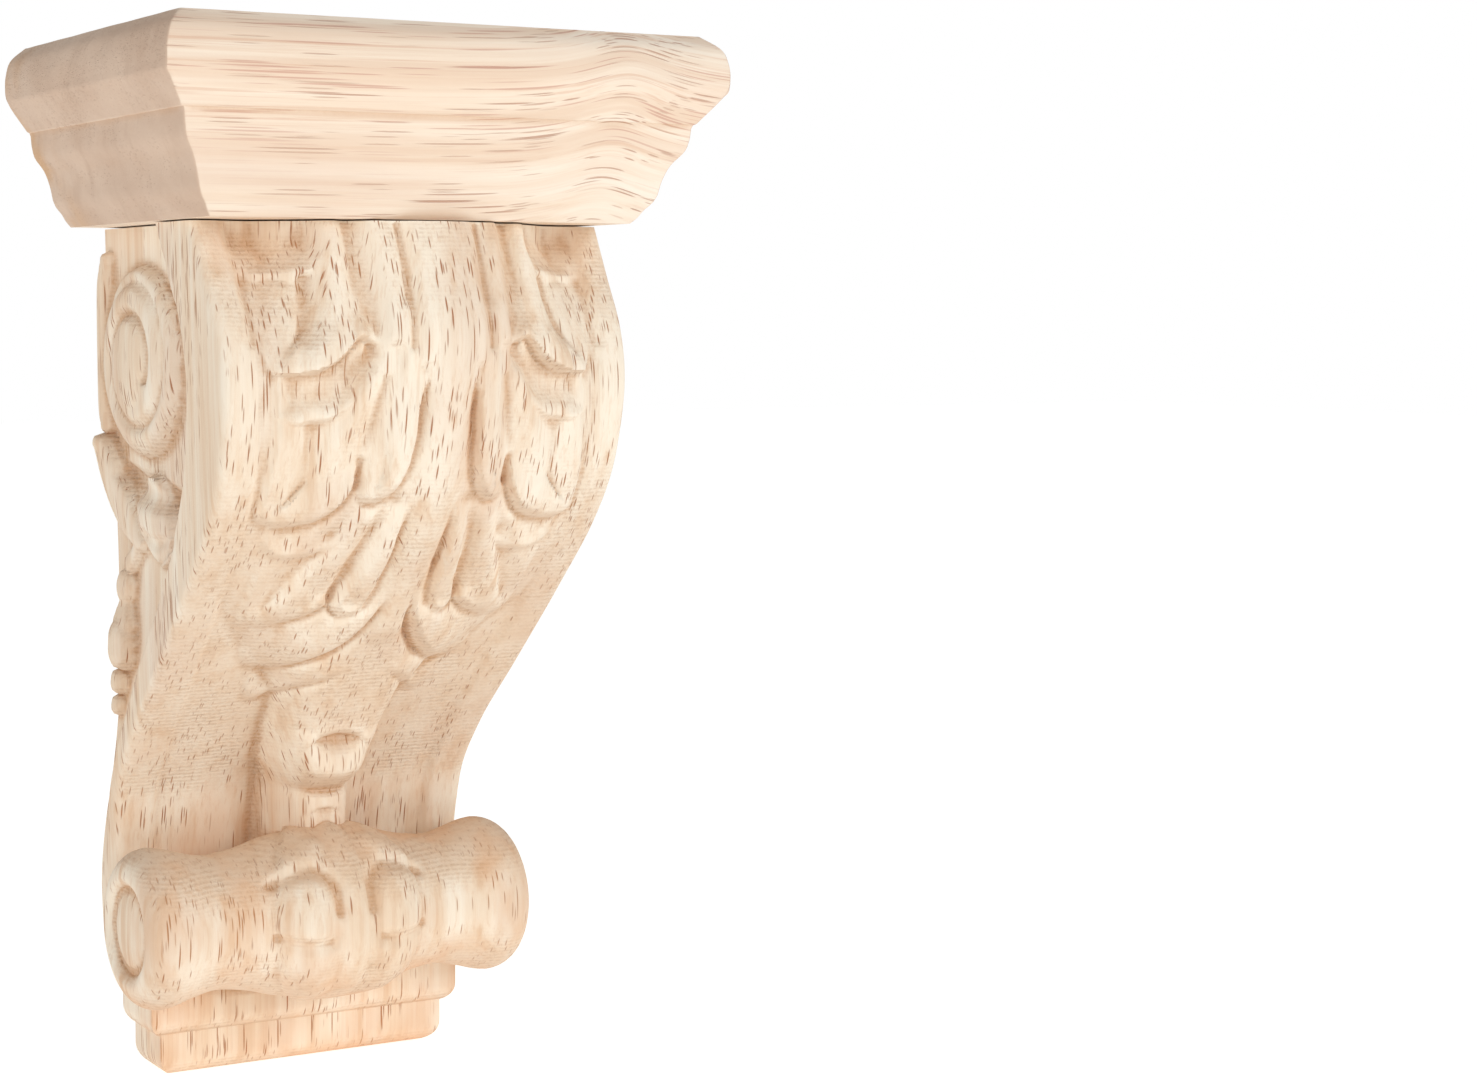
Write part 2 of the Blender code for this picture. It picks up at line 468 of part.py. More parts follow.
def bracket_ring(drop):
    """One level of the bracket: up the left side, across the front and back down the right."""
    half = TOP_HALF_WIDTH - WIDTH_TAPER * drop
    full = float(smooth_line(EDGE_LINE, drop))
    depths = np.linspace(0, full - CORNER_RADIUS, SIDE_COLUMNS)
    level = np.full(SIDE_COLUMNS, drop)
    sides = half + side_relief(depths, level, full)
    xs = np.linspace(CORNER_RADIUS - half, half - CORNER_RADIUS, FRONT_COLUMNS)
    fronts = full + front_relief(xs, np.full(FRONT_COLUMNS, drop), half)
    turns = [math.pi / 2 * k / CORNER_STEPS for k in range(1, CORNER_STEPS)]
    corner = [(half - CORNER_RADIUS * (1 - math.cos(a)), full - CORNER_RADIUS * (1 - math.sin(a)))
              for a in turns]
    z = height_of(drop)
    left = [(-side, -depth, z) for side, depth in zip(sides, depths)]
    left += [(-side, -depth, z) for side, depth in corner]
    front = [(x, -depth, z) for x, depth in zip(xs, fronts)]
    right = [(-x, y, z) for x, y, z in reversed(left)]
    return left + front + right


def make_bracket(collection):
    shape = bmesh.new()
    top = CAP_HEIGHT + GAP
    skin(shape, [bracket_ring(drop) for drop in np.linspace(top, BRACKET_END, LEVELS)])
    return add_object("body", finish_mesh("body", shape), collection)


def roll_profile():
    """The roll from its middle to its end, as (distance from the middle, radius)."""
    places = np.linspace(0, ROLL_SHOULDER, ROLL_STEPS)
    line = [(x, ROLL_RADIUS + offset) for x, offset in zip(places, smooth_line(ROLL_OUTLINE, places))]
    out = ROLL_HALF_LENGTH - ROLL_SHOULDER
    fall = ROLL_RADIUS - ROLL_FACE_RADIUS
    for k in range(1, ROLL_END_STEPS + 1):
        angle = math.pi / 2 * k / ROLL_END_STEPS
        line.append((ROLL_SHOULDER + out * math.sin(angle), ROLL_RADIUS - fall * (1 - math.cos(angle))))
    line += [(ROLL_HALF_LENGTH - inset, radius) for inset, radius in ROLL_END]
    return line


def roll_relief(x, degrees):
    """How far the leaf stands up from the roll."""
    aside = np.abs(x)
    arc = np.radians(degrees) * ROLL_RADIUS
    leaf = np.zeros(aside.shape)

    def on_arc(points):
        return [(a, math.radians(d) * ROLL_RADIUS, w) for a, d, w in points]

    for points, heights in ROLL_STROKES:
        edge = [ROLL_EDGE_SHARE * h for h in heights]
        crest = [(1 - ROLL_EDGE_SHARE) * h for h in heights]
        leaf = np.maximum(leaf, raised(on_arc(points), edge, crest, aside, arc, CARVED_BEVEL))
    for points, height in ROLL_SWELLS:
        leaf = leaf + swelled(on_arc(points), height, aside, arc)
    for points, depth in ROLL_CUTS:
        leaf = leaf - sunk(on_arc(points), depth, aside, arc)
    return leaf


def make_roll(collection):
    half = roll_profile()
    line = [(-x, radius) for x, radius in reversed(half)] + half[1:]
    turns = np.arange(ROLL_SIDES) * 360.0 / ROLL_SIDES
    degrees = np.mod(turns + 180, 360) - 180
    shape = bmesh.new()
    rings = []
    for x, radius in line:
        lift = np.zeros(ROLL_SIDES)
        if abs(x) < LEAF_REACH:
            lift = roll_relief(np.full(ROLL_SIDES, x), degrees)
        rings.append([(x, -ROLL_DEPTH - (radius + up) * math.cos(math.radians(turn)),
                       height_of(ROLL_DROP) + (radius + up) * math.sin(math.radians(turn)))
                      for turn, up in zip(turns, lift)])
    skin(shape, rings)
    return add_object("roll", finish_mesh("roll", shape), collection)


def make_foot(name, size, collection):
    half, depth, first, last, radius = size
    shape = bmesh.new()
    bmesh.ops.create_cube(shape, size=1)
    bmesh.ops.scale(shape, vec=(2 * half, depth, last - first), verts=shape.verts)
    bmesh.ops.translate(shape, vec=(0, -depth / 2, height_of((first + last) / 2)), verts=shape.verts)
    low = height_of(last) + 0.01
    rim = [edge for edge in shape.edges
           if all(v.co.z < low for v in edge.verts) and not all(v.co.y > -0.01 for v in edge.verts)]
    bmesh.ops.bevel(shape, geom=rim, offset=radius, segments=4, profile=0.5, affect="EDGES")
    return add_object(name, finish_mesh(name, shape), collection)


def join_shapes(body, others):
    """Unions the other shapes into the body, and keeps them as hidden guides."""
    for other in others:
        union = body.modifiers.new("join " + other.name, "BOOLEAN")
        union.operation = "UNION"
        union.solver = "EXACT"
        union.object = other
        other.display_type = "WIRE"
        other.hide_render = True
        other.hide_set(True)


def simplify(body):
    """Keeps the triangles where the carving turns, and spends few on the plain faces."""
    bpy.context.view_layer.update()
    seen = body.evaluated_get(bpy.context.evaluated_depsgraph_get())
    mesh = seen.to_mesh()
    count = sum(len(face.vertices) - 2 for face in mesh.polygons)
    seen.to_mesh_clear()
    thin = body.modifiers.new("simplify", "DECIMATE")
    thin.decimate_type = "COLLAPSE"
    thin.ratio = BODY_TRIANGLES / count
    thin.use_collapse_triangulate = True


def main():
    for item in list(bpy.data.objects):
        bpy.data.objects.remove(item, do_unlink=True)
    parts = bpy.data.collections.new("carved_wooden_corbel")
    cutters = bpy.data.collections.new("cutters")
    bpy.context.scene.collection.children.link(parts)
    bpy.context.scene.collection.children.link(cutters)
    make_cap(parts, principled("cap wood", END_WOOD, 0.7))
    body = make_bracket(parts)
    body.data.materials.append(principled("carved wood", WOOD, 0.7))
    roll = make_roll(cutters)
    upper = make_foot("foot_upper", FOOT_UPPER, cutters)
    lower = make_foot("foot_lower", FOOT_LOWER, cutters)
    join_shapes(body, [upper, lower, roll])
    simplify(body)


main()
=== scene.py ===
# Carved wooden corbel in raw pale wood: the leaf bracket and the moulded block on top of it.
# Lengths are in millimetres until they become vertices. A drop is a distance down from the top,
# a depth is a distance out from the wall.
import math

import bpy
import numpy as np
from mathutils import Matrix, Vector


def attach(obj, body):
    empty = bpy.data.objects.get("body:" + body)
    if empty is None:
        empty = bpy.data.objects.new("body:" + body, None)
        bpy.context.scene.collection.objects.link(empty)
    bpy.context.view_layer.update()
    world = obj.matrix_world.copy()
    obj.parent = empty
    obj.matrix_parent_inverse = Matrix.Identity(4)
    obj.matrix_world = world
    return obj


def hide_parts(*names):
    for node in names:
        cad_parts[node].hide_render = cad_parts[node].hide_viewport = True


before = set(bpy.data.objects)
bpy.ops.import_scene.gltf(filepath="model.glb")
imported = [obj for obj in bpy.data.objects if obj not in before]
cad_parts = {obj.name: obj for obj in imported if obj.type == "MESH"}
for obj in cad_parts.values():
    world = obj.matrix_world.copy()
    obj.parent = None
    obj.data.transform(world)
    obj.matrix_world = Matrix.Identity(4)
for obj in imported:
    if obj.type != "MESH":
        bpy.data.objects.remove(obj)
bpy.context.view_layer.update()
print("frame loaded")

mm = 0.001
fullHeight = 200.0


def heightOf(drop):
    return fullHeight / 2 - drop


# curves and carving strokes

# what every stroke of the chisel has in common
chisel = {
    "stroke steps": 72,
    "line steps": 90,
    "groove spread": 1.7,
    "swell softness": 1.5,
    "lobe thinning": 1.3,
    "hollow bevel": 0.8,
    "end fade": 1.6,
    # a hollow stops where the lobes before it stand this high
    "covered": 1.4,
    "least distance": 0.001,
}


# a smooth curve through (place, value) points
def smoothLine(points, at):
    places, values = np.array(points, dtype=float).T
    slopes = np.gradient(values, places)
    at = np.clip(at, places[0], places[-1])
    k = np.clip(np.searchsorted(places, at, side="right") - 1, 0, len(places) - 2)
    span = places[k + 1] - places[k]
    t = (at - places[k]) / span
    rest = 1 - t
    return ((1 + 2 * t) * rest**2 * values[k] + t * rest**2 * span * slopes[k]
            + t**2 * (3 - 2 * t) * values[k + 1] - t**2 * rest * span * slopes[k + 1])


def ease(t):
    t = np.clip(t, 0, 1)
    return t * t * (3 - 2 * t)


# from the first value at a stroke's root to the second at its tip
def fromTo(ends, place):
    return ends[0] + (ends[1] - ends[0]) * place


# nearness is 0 on the stroke's spine and 1 at its edge
def strokeField(points, across, along):
    steps = chisel["stroke steps"]
    stations = np.arange(len(points), dtype=float)
    walk = np.linspace(0, stations[-1], steps)
    lines = [smoothLine(list(zip(stations, column)), walk) if len(points) > 2
             else np.interp(walk, stations, column) for column in zip(*points)]
    nearness = np.full(across.shape, np.inf)
    place = np.zeros(across.shape)
    width = np.ones(across.shape)
    for k in range(steps):
        ratio = np.hypot(across - lines[0][k], along - lines[1][k]) / lines[2][k]
        closer = ratio < nearness
        nearness = np.where(closer, ratio, nearness)
        place = np.where(closer, k / (steps - 1), place)
        width = np.where(closer, lines[2][k], width)
    return nearness, place, width


# a raised stroke: a share of its height stands at the edge, and a dome holds the rest
def raised(points, heights, edgeShare, across, along, bevel):
    near, place, width = strokeField(points, across, along)
    dome = np.sqrt(np.clip(1 - near**2, 0, 1))
    height = fromTo(heights, place) * (edgeShare + (1 - edgeShare) * dome)
    return height * ease((1 - near) * width / bevel)


def sunk(points, depths, across, along):
    near, place, width = strokeField(points, across, along)
    return fromTo(depths, place) * np.clip(1 - (near / chisel["groove spread"])**2, 0, 1)**2


# a soft swell that dies away to nothing at its edge
def swelled(points, heights, across, along):
    near, place, width = strokeField(points, across, along)
    return fromTo(heights, place) * np.clip(1 - near**2, 0, 1)**chisel["swell softness"]


# signed distance to a line, positive on the leaf's side, the place along it from 0 to 1,
# and how squarely a point lies beside it, which falls off past its ends
def lineField(points, across, along):
    steps = chisel["line steps"]
    spans = [math.dist(a, b) for a, b in zip(points, points[1:])]
    stations = np.concatenate([[0], np.cumsum(spans)])
    walk = np.linspace(0, stations[-1], steps)
    lineX = smoothLine(list(zip(stations, [a for a, b in points])), walk)
    lineY = smoothLine(list(zip(stations, [b for a, b in points])), walk)
    alongX, alongY = np.gradient(lineX), np.gradient(lineY)
    distance = np.full(across.shape, np.inf)
    place = np.zeros(across.shape)
    signed = np.zeros(across.shape)
    for k in range(steps):
        aside, ahead = across - lineX[k], along - lineY[k]
        far = np.hypot(aside, ahead)
        closer = far < distance
        distance = np.where(closer, far, distance)
        place = np.where(closer, k / (steps - 1), place)
        size = math.hypot(alongX[k], alongY[k])
        signed = np.where(closer, (alongY[k] * aside - alongX[k] * ahead) / size, signed)
    square = np.clip(np.abs(signed) / np.maximum(distance, chisel["least distance"]), 0, 1)
    return np.where(signed > 0, distance, -distance), place, square


# values spread evenly from place 0 to place 1
def spread(values, place):
    return np.interp(place, np.linspace(0, 1, len(values)), values)


# a lobe stands thickest at its crisp edge, thins inward, and overhangs a hollow outside its edge
def lobe(line, thickness, reach, depth, width, across, along, bevel):
    signed, place, square = lineField(line, across, along)
    fade = ease(square * chisel["end fade"])
    thinning = np.clip(1 - signed / spread(reach, place), 0, 1)**chisel["lobe thinning"]
    inside = spread(thickness, place) * thinning * ease(signed / bevel) * fade
    outside = np.clip(1 + signed / spread(width, place), 0, 1)**2
    hollow = spread(depth, place) * outside * ease(-signed / (bevel * chisel["hollow bevel"])) * fade
    return np.where(signed > 0, inside, 0), np.where(signed > 0, 0, hollow)


# one closed skin from a grid primitive: its rows become the rings, and its sides meet and are welded
weldDistance = 0.002 * mm
backSlack = 0.1 * mm


def gridSkin(name, rings):
    rows, columns = len(rings), len(rings[0])
    bpy.ops.object.select_all(action="DESELECT")
    bpy.ops.mesh.primitive_grid_add(x_subdivisions=columns, y_subdivisions=rows - 1, size=1)
    piece = bpy.context.object
    piece.name = name
    piece.data.name = name
    flat = np.empty(len(piece.data.vertices) * 3)
    piece.data.vertices.foreach_get("co", flat)
    flat = flat.reshape(-1, 3)
    order = np.lexsort((np.round(flat[:, 0], 5), -np.round(flat[:, 1], 5)))
    flat[order] = np.concatenate([rings, rings[:, :1]], axis=1).reshape(-1, 3) * mm
    piece.data.vertices.foreach_set("co", flat.ravel())
    bpy.ops.object.mode_set(mode="EDIT")
    bpy.ops.mesh.select_all(action="SELECT")
    bpy.ops.mesh.remove_doubles(threshold=weldDistance)
    bpy.ops.mesh.fill_holes(sides=0)
    bpy.ops.mesh.select_all(action="SELECT")
    bpy.ops.mesh.normals_make_consistent(inside=False)
    bpy.ops.object.mode_set(mode="OBJECT")
    return piece


# smooth but for sharp edges, and flat on the wall side
def finishPiece(piece, angle):
    bpy.ops.object.select_all(action="DESELECT")
    piece.select_set(True)
    bpy.context.view_layer.objects.active = piece
    bpy.ops.object.shade_smooth_by_angle(angle=math.radians(angle))
    for face in piece.data.polygons:
        if abs(face.normal.y) > 0.999 and abs(face.center.y) < backSlack:
            face.use_smooth = False


# the bracket, its roll and its foot: one carved block

bracket = {
    "edge line": [(34, 55.8), (44, 61.3), (52, 65.8), (61, 68.3), (71, 67.5), (80.5, 64.6), (89.3, 59.1),
                  (101.7, 48.1), (119.3, 31.2), (133.3, 17.6), (143, 10.8), (151, 8.6), (180, 8.5)],
    "top": 34.0,
    "end": 172.0,
    "half width": 42.9,
    "taper": 0.03,
    "corner": 2.4,
    "band": [(34, 5.0), (70, 5.4), (100, 6.0), (120, 7.0), (180, 7.0)],
    "field depth": 0.9,
    "field slope": 2.0,
    "bevel": 0.8,
    "levels": 256,
    "front columns": 154,
    "side columns": 66,
    "corner steps": 4,
    # faces that meet at less than this many degrees are shaded smooth
    "smooth below": 48,
    "hollow rounds": 26,
}

# the swelling that the leaf stands on, by drop
swelling = {
    "lift": [(34, 15.6), (39, 15.2), (46, 13.8), (53, 12.0), (60, 9.4), (66, 7.6), (72, 6.9), (90, 7.2),
             (110, 8.8), (120, 9.8), (126, 11.0), (131, 12.4), (136, 14.4), (140, 16.2), (141.4, 15.4),
             (142.6, 13.6), (145, 14.6), (152, 16.0), (180, 16.2)],
    "width": [(34, 30), (54, 30), (62, 32), (72, 36), (90, 36), (101, 33), (111, 25), (118, 17.0),
              (122.5, 14.2), (126, 13.2), (130, 12.6), (134, 11.6), (137, 11.0), (139, 10.2), (141.5, 9.2),
              (145, 9.0), (180, 9.0)],
    "power": [(34, 1.6), (104, 1.6), (116, 2.4), (124, 3.2), (132, 3.2), (142, 3.4), (146, 3.6), (180, 3.6)],
}

# lobes: edge line as (distance from the middle, drop), then values spread evenly along it:
# thickness, how far it thins inward, hollow outside the edge, and that hollow's width
# swells and cuts: (distance from the middle, drop, half width), then height or depth at root and tip
leaf = {
    "lobes": [
        # first tier: the folded lobe beside the rim, and the small step under it
        ([(14.4, 55.4), (16.5, 54.4), (18.5, 56.4), (20.8, 58.8), (24, 60.4), (28, 61.2), (31.6, 60.9),
          (32.8, 58), (32.5, 53), (31.4, 47), (31.0, 43.6)],
         (0.8, 2.0, 2.2, 2.1, 1.7, 1.2, 0.8, 0.6, 0.3), (2, 7, 13, 14, 8, 5, 3, 3, 3),
         (1.8, 2.0, 1.0, 0.3, 0.2, 0.2, 0.1, 0, 0), (2.5, 3.5, 4, 3, 2, 2, 2, 2, 2)),
        ([(16.8, 64.6), (18.6, 66.8), (21.2, 68.8), (25, 69.6), (29, 69.5), (31.2, 68.4), (31.5, 65),
          (31.2, 61.8)],
         (0, 0.9, 1.2, 1.2, 1.1, 0.9, 0.8, 0.5), (3, 4, 5, 5, 5, 4, 3, 3),
         (0, 0.3, 0.3, 0.2, 0.2, 0.2, 0.2, 0.2), (2, 2, 2, 2, 2, 2, 2, 2)),
        # second tier: the inner finger, the broad lobe and its step
        ([(5.0, 60.5), (5.6, 64), (6.0, 70), (6.3, 75), (7.3, 79.5), (9.4, 82.6), (12, 83.9),
          (13.8, 83.2), (14.7, 80.8), (15.0, 78.2)],
         (0, 1.2, 2.0, 2.2, 2.2, 2.2, 2.0, 1.6, 1.0, 0), (2, 4, 6, 7, 8, 8, 8, 5, 3, 2),
         (0, 1.8, 2.0, 1.6, 1.2, 0.8, 0.6, 0.8, 1.0, 0.6), (1, 3.2, 3.4, 3.0, 2.4, 2, 2, 2, 1.5, 1)),
        ([(15.2, 77.6), (15.7, 80.4), (17.6, 84.2), (21, 86.9), (25.5, 87.9), (29.6, 87.8), (31.8, 86.5),
          (32.2, 82), (31.6, 75), (31, 70.2)],
         (0.8, 1.8, 2.2, 2.2, 2.0, 1.8, 1.4, 1.2, 1.0, 0.6), (2, 5, 9, 12, 14, 10, 6, 4, 3, 3),
         (1.4, 1.6, 1.2, 0.6, 0.2, 0.2, 0.2, 0.3, 0.3, 0.2), (1.5, 2.5, 2.5, 2.5, 2, 2, 2, 2, 2, 2)),
        ([(14.5, 90.0), (17, 92.3), (20, 93.8), (23.5, 94.2), (27, 93.7), (29.3, 92), (29.8, 88.6)],
         (0, 0.8, 1.2, 1.3, 1.2, 1.0, 0.6), (3, 4, 5, 5, 5, 4, 3),
         (0, 0.3, 0.2, 0.2, 0.2, 0.2, 0.2), (2, 2, 2, 2, 2, 2, 2)),
        # third tier
        ([(4.4, 84), (5.2, 89), (5.6, 95), (6.0, 100.5), (7.0, 104), (9.2, 105.6), (11.4, 104.8),
          (12.6, 102.4), (12.9, 100)],
         (0, 1.6, 2.2, 2.3, 1.8, 1.3, 1.3, 1.3, 0.4), (2, 4, 6, 7, 7, 6, 5, 3, 2),
         (0, 1.2, 2.4, 2.8, 1.3, 0.4, 0.8, 2.2, 1.2), (1, 2.4, 3, 3.4, 2.8, 2, 2, 2, 1)),
        ([(12.9, 100), (13.3, 102.6), (15.6, 104.8), (19.5, 106.4), (24, 107.7), (27.2, 107.0),
          (28.5, 104.5), (28.6, 99.5), (29, 95)],
         (0.4, 1.4, 1.7, 1.6, 1.4, 1.3, 1.1, 0.8, 0.4), (2, 5, 8, 9, 8, 6, 5, 4, 3),
         (1.4, 2.0, 1.2, 0.6, 0.3, 0.2, 0.3, 0.4, 0.2), (1.5, 2.4, 2.4, 2.2, 2, 2, 2, 2, 2)),
        # fourth and fifth tiers
        ([(3.0, 101), (3.8, 105.5), (6.2, 109.6), (9.8, 113.2), (14, 115.5), (18.5, 116.5), (22, 115.8),
          (24, 113.4), (25.2, 109.6)],
         (0, 1.8, 2.6, 2.6, 2.2, 1.6, 1.2, 0.9, 0.4), (2, 4, 6, 7, 7, 6, 5, 4, 3),
         (0, 2.4, 3.6, 3.2, 1.8, 0.8, 0.3, 0.2, 0.2), (1, 2.6, 3.6, 3.8, 3.2, 2.6, 2, 2, 2)),
        ([(4.6, 117.6), (8.6, 119.4), (12.6, 121.2), (15.6, 123.2), (17.8, 124.0), (19.6, 122.0),
          (20.6, 118.6)],
         (0.4, 1.0, 1.3, 1.4, 1.3, 1.1, 0.6), (2, 4, 5, 5, 4, 4, 3),
         (0.4, 1.4, 1.6, 1.2, 0.4, 0.3, 0.2), (1, 2.4, 2.6, 2.4, 2, 2, 2)),
        # the tongue's rim, then the upper edges of its two spoons
        ([(0, 140.9), (3.8, 140.4), (7.0, 138.4), (9.0, 135.0), (10.0, 131), (10.4, 126), (10.2, 119)],
         (0.3, 0.5, 0.8, 1.1, 1.1, 0.7, 0), (4.0, 5.0, 5.5, 5.5, 5.0, 4.0, 3),
         (0, 0, 0, 0, 0, 0, 0), (1, 1, 1, 1, 1, 1, 1)),
        ([(0, 131.0), (2.8, 131.3), (5.2, 132.3), (7.0, 134.0), (8.2, 136.2)],
         (0.4, 0.4, 0.2, 0.1, 0), (3, 3, 3, 2, 2), (2.6, 2.2, 1.3, 0.6, 0), (6.4, 5.8, 4.4, 3.4, 2)),
        ([(0, 146.6), (2.2, 146.9), (4.0, 148.0), (5.4, 149.8)],
         (0.2, 0.1, 0, 0), (2, 2, 2, 2), (1.3, 1.0, 0.4, 0), (4.6, 4.2, 3.4, 2)),
    ],
    "swells": [
        ([(0, 34, 3.4), (0, 52, 4.0), (0, 62, 5.6), (0, 85, 5.4), (0, 108, 4.6)], (0.6, 1.8)),
        ([(4.8, 34, 2.0), (4.9, 46, 2.3), (5.2, 58, 2.0)], (0.7, 0.8)),
        ([(11.6, 34, 2.2), (11.2, 44, 2.4), (11.0, 54, 2.2), (11.4, 60, 2.0)], (1.2, 1.0)),
        ([(19.2, 34, 3.2), (20.0, 44, 3.6), (21.6, 52, 3.8), (24.6, 58, 3.6)], (1.7, 1.2)),
        ([(28.4, 46, 2.6), (29.0, 53, 3.0), (29.4, 59, 2.6)], (1.0, 0.9)),
        ([(23.4, 42.7, 1.5), (27.6, 43.3, 1.7), (31.6, 43.4, 1.5)], (0.8, 0.9)),
        ([(9.0, 50, 3.0), (9.6, 62, 3.8), (10, 72, 4.2), (10.8, 80, 3.8)], (0.7, 1.1)),
        ([(14.5, 62, 3.2), (18, 71, 4.0), (21, 79, 4.0), (23, 84, 3.4)], (0.9, 1.0)),
        ([(28.5, 70, 3.8), (28.8, 78, 4.0), (28, 85, 3.4)], (0.7, 0.8)),
        ([(8.0, 86, 2.6), (8.6, 95, 3.2), (9.4, 101, 3.4)], (0.7, 1.2)),
        ([(12.5, 87, 2.6), (15.5, 94, 3.2), (19, 99.6, 3.6), (22.5, 104, 3.0)], (1.1, 0.9)),
        ([(25, 94, 2.8), (26.4, 100, 3.2), (26, 105, 2.6)], (0.4, 0.5)),
        ([(8.6, 105.6, 3.4), (12.6, 110, 4.8), (17.5, 112.6, 4.8), (21.5, 113.6, 3.2)], (1.3, 0.7)),
        ([(11, 116.6, 2.8), (15, 119.6, 3.6), (17.6, 121.8, 2.8)], (0.7, 0.1)),
        ([(0, 137.4, 4.0), (4.6, 136.4, 4.0), (7.8, 132.8, 3.0)], (1.3, 0.8)),
    ],
    "cuts": [
        ([(15.6, 33, 1.9), (15.2, 42, 2.1), (14.3, 50, 1.9), (13.8, 55, 1.1)], (1.6, 1.2)),
        ([(7.8, 35, 0.7), (7.6, 45, 0.9), (7.9, 56, 0.7)], (1.1, 1.0)),
        ([(14.6, 57.2, 1.5), (17.0, 59.8, 2.0), (20, 62, 2.4), (24, 64, 2.4), (27.5, 63.6, 2.0)], (2.4, 1.0)),
        ([(23.8, 44.5, 1.2), (24.2, 49, 1.5), (25.6, 54.5, 1.2)], (1.3, 1.0)),
        ([(34.0, 45, 1.2), (35.0, 55, 1.2)], (0.6, 0.5)),
        ([(11.2, 57, 1.6), (12.6, 64, 2.0), (14.2, 70, 2.2), (18, 76.5, 2.6), (22.5, 82, 2.6)], (1.4, 0.3)),
        ([(15, 76.5, 0.9), (14.8, 80, 1.1)], (1.2, 1.6)),
        ([(24.5, 70, 2.0), (26, 78, 2.2), (26.8, 84, 2.4)], (0.9, 0.2)),
        ([(7.4, 83.5, 1.3), (9.6, 89.5, 1.6), (11.2, 95, 1.7), (13.0, 101.6, 1.2)], (0.6, 2.2)),
        ([(17.5, 90, 1.5), (21.5, 96, 1.9), (25.6, 102.5, 2.2)], (1.0, 0.5)),
        ([(23.5, 37.6, 2.4), (28, 38.2, 2.8), (33, 37.6, 2.4)], (2.0, 1.7)),
        ([(0, 117, 3.6), (0, 124, 4.4), (0, 130, 4.4)], (0.5, 1.2)),
        ([(0, 143.6, 0.6), (8, 143.2, 0.6)], (0.4, 0.2)),
    ],
}


# how far the front stands out from the edge line
def frontRelief(x, drop, halfWidth):
    aside = np.abs(x)
    band = smoothLine(bracket["band"], drop)
    field = -bracket["field depth"] * ease((halfWidth - band - aside) / bracket["field slope"])
    reach = smoothLine(swelling["width"], drop)
    power = smoothLine(swelling["power"], drop)
    swell = smoothLine(swelling["lift"], drop) * (1 - np.clip(aside / reach, 0, 1)**power)
    carved = np.zeros(aside.shape)
    hollow = np.zeros(aside.shape)
    for shape in leaf["lobes"]:
        stands, sinks = lobe(*shape, aside, drop, bracket["bevel"])
        hollow = np.maximum(hollow, sinks * np.clip(chisel["covered"] - carved, 0, 1))
        carved = np.maximum(carved, stands)
    crests = np.zeros(aside.shape)
    for points, heights in leaf["swells"]:
        crests = np.maximum(crests, swelled(points, heights, aside, drop))
    cuts = np.zeros(aside.shape)
    for points, depths in leaf["cuts"]:
        cuts = cuts + sunk(points, depths, aside, drop)
    return field + swell + carved + crests - hollow - cuts


# rim: how wide it is, panel: how far the panel lies behind it, slope: the fall between them, all by drop
side = {
    "rim": [(34, 15.5), (85, 15.5), (100, 12.0), (119, 9.0), (131, 6.0), (143, 4.0), (158, 3.0), (180, 3.0)],
    "panel": [(34, 5.8), (71, 5.6), (93, 6.2), (110, 5.9), (131, 4.7), (141, 3.2), (150, 1.5),
              (158, 0.4), (180, 0.4)],
    "slope": [(34, 7.0), (48, 4.0), (60, 1.6), (90, 1.8), (110, 3.0), (150, 4.0), (180, 4.0)],
    "volute": (20.4, 59.4),
    "volute radius": 18.0,
    "volute rise": 3.9,
    "turns": 1.6,
    "eye": (5.6, 8.6),
    "eye rise": 0.9,
    # the volute's line: how far inside its edge, how deep and how wide
    "groove": (1.5, 1.1, 1.1),
    "edge share": 0.35,
    # husk and pendant: (depth, drop, half width) and heights at root and tip
    "strokes": [
        ([(2.6, 40, 2.0), (0.6, 48, 3.4), (0.2, 58, 4.2), (0.4, 66, 3.2), (1.4, 72, 1.8)], (2.0, 2.6)),
        ([(15, 94, 2.2), (9.5, 89.5, 4.4), (4.6, 84, 4.8), (1.0, 77.6, 4.0), (0.4, 75.6, 2.6)], (2.0, 4.2)),
        ([(23.0, 87.6, 7.4), (26.0, 91.0, 6.6), (27.6, 94.0, 3.8)], (3.4, 2.6)),
        ([(28.4, 97.4, 1.2), (34.6, 93.4, 1.5), (38.6, 87.6, 1.2)], (2.6, 2.0)),
        ([(13.4, 94.5, 1.6), (8.6, 98.4, 2.4)], (1.6, 1.8)),
        ([(6.8, 102.6, 3.4), (6.4, 103.4, 3.6)], (2.6, 2.6)),
        ([(6.3, 105.5, 2.4), (6.0, 110.5, 4.2)], (1.8, 3.2)),
        ([(5.8, 113.4, 4.4), (5.6, 115.6, 4.4)], (4.2, 4.2)),
        ([(3.4, 121.6, 2.6), (3.2, 122.4, 2.6)], (2.9, 2.9)),
        ([(1.8, 126.6, 2.2), (1.6, 127.2, 2.2)], (2.0, 2.0)),
    ],
    "cuts": [
        ([(8, 80.6, 1.4), (18, 83.2, 2.2), (30, 84.8, 2.2), (38, 85.2, 1.2)], (1.6, 2.0)),
        ([(20, 91.6, 0.9), (25, 93.2, 1.2), (30, 92.4, 0.9)], (0.8, 0.6)),
    ],
}


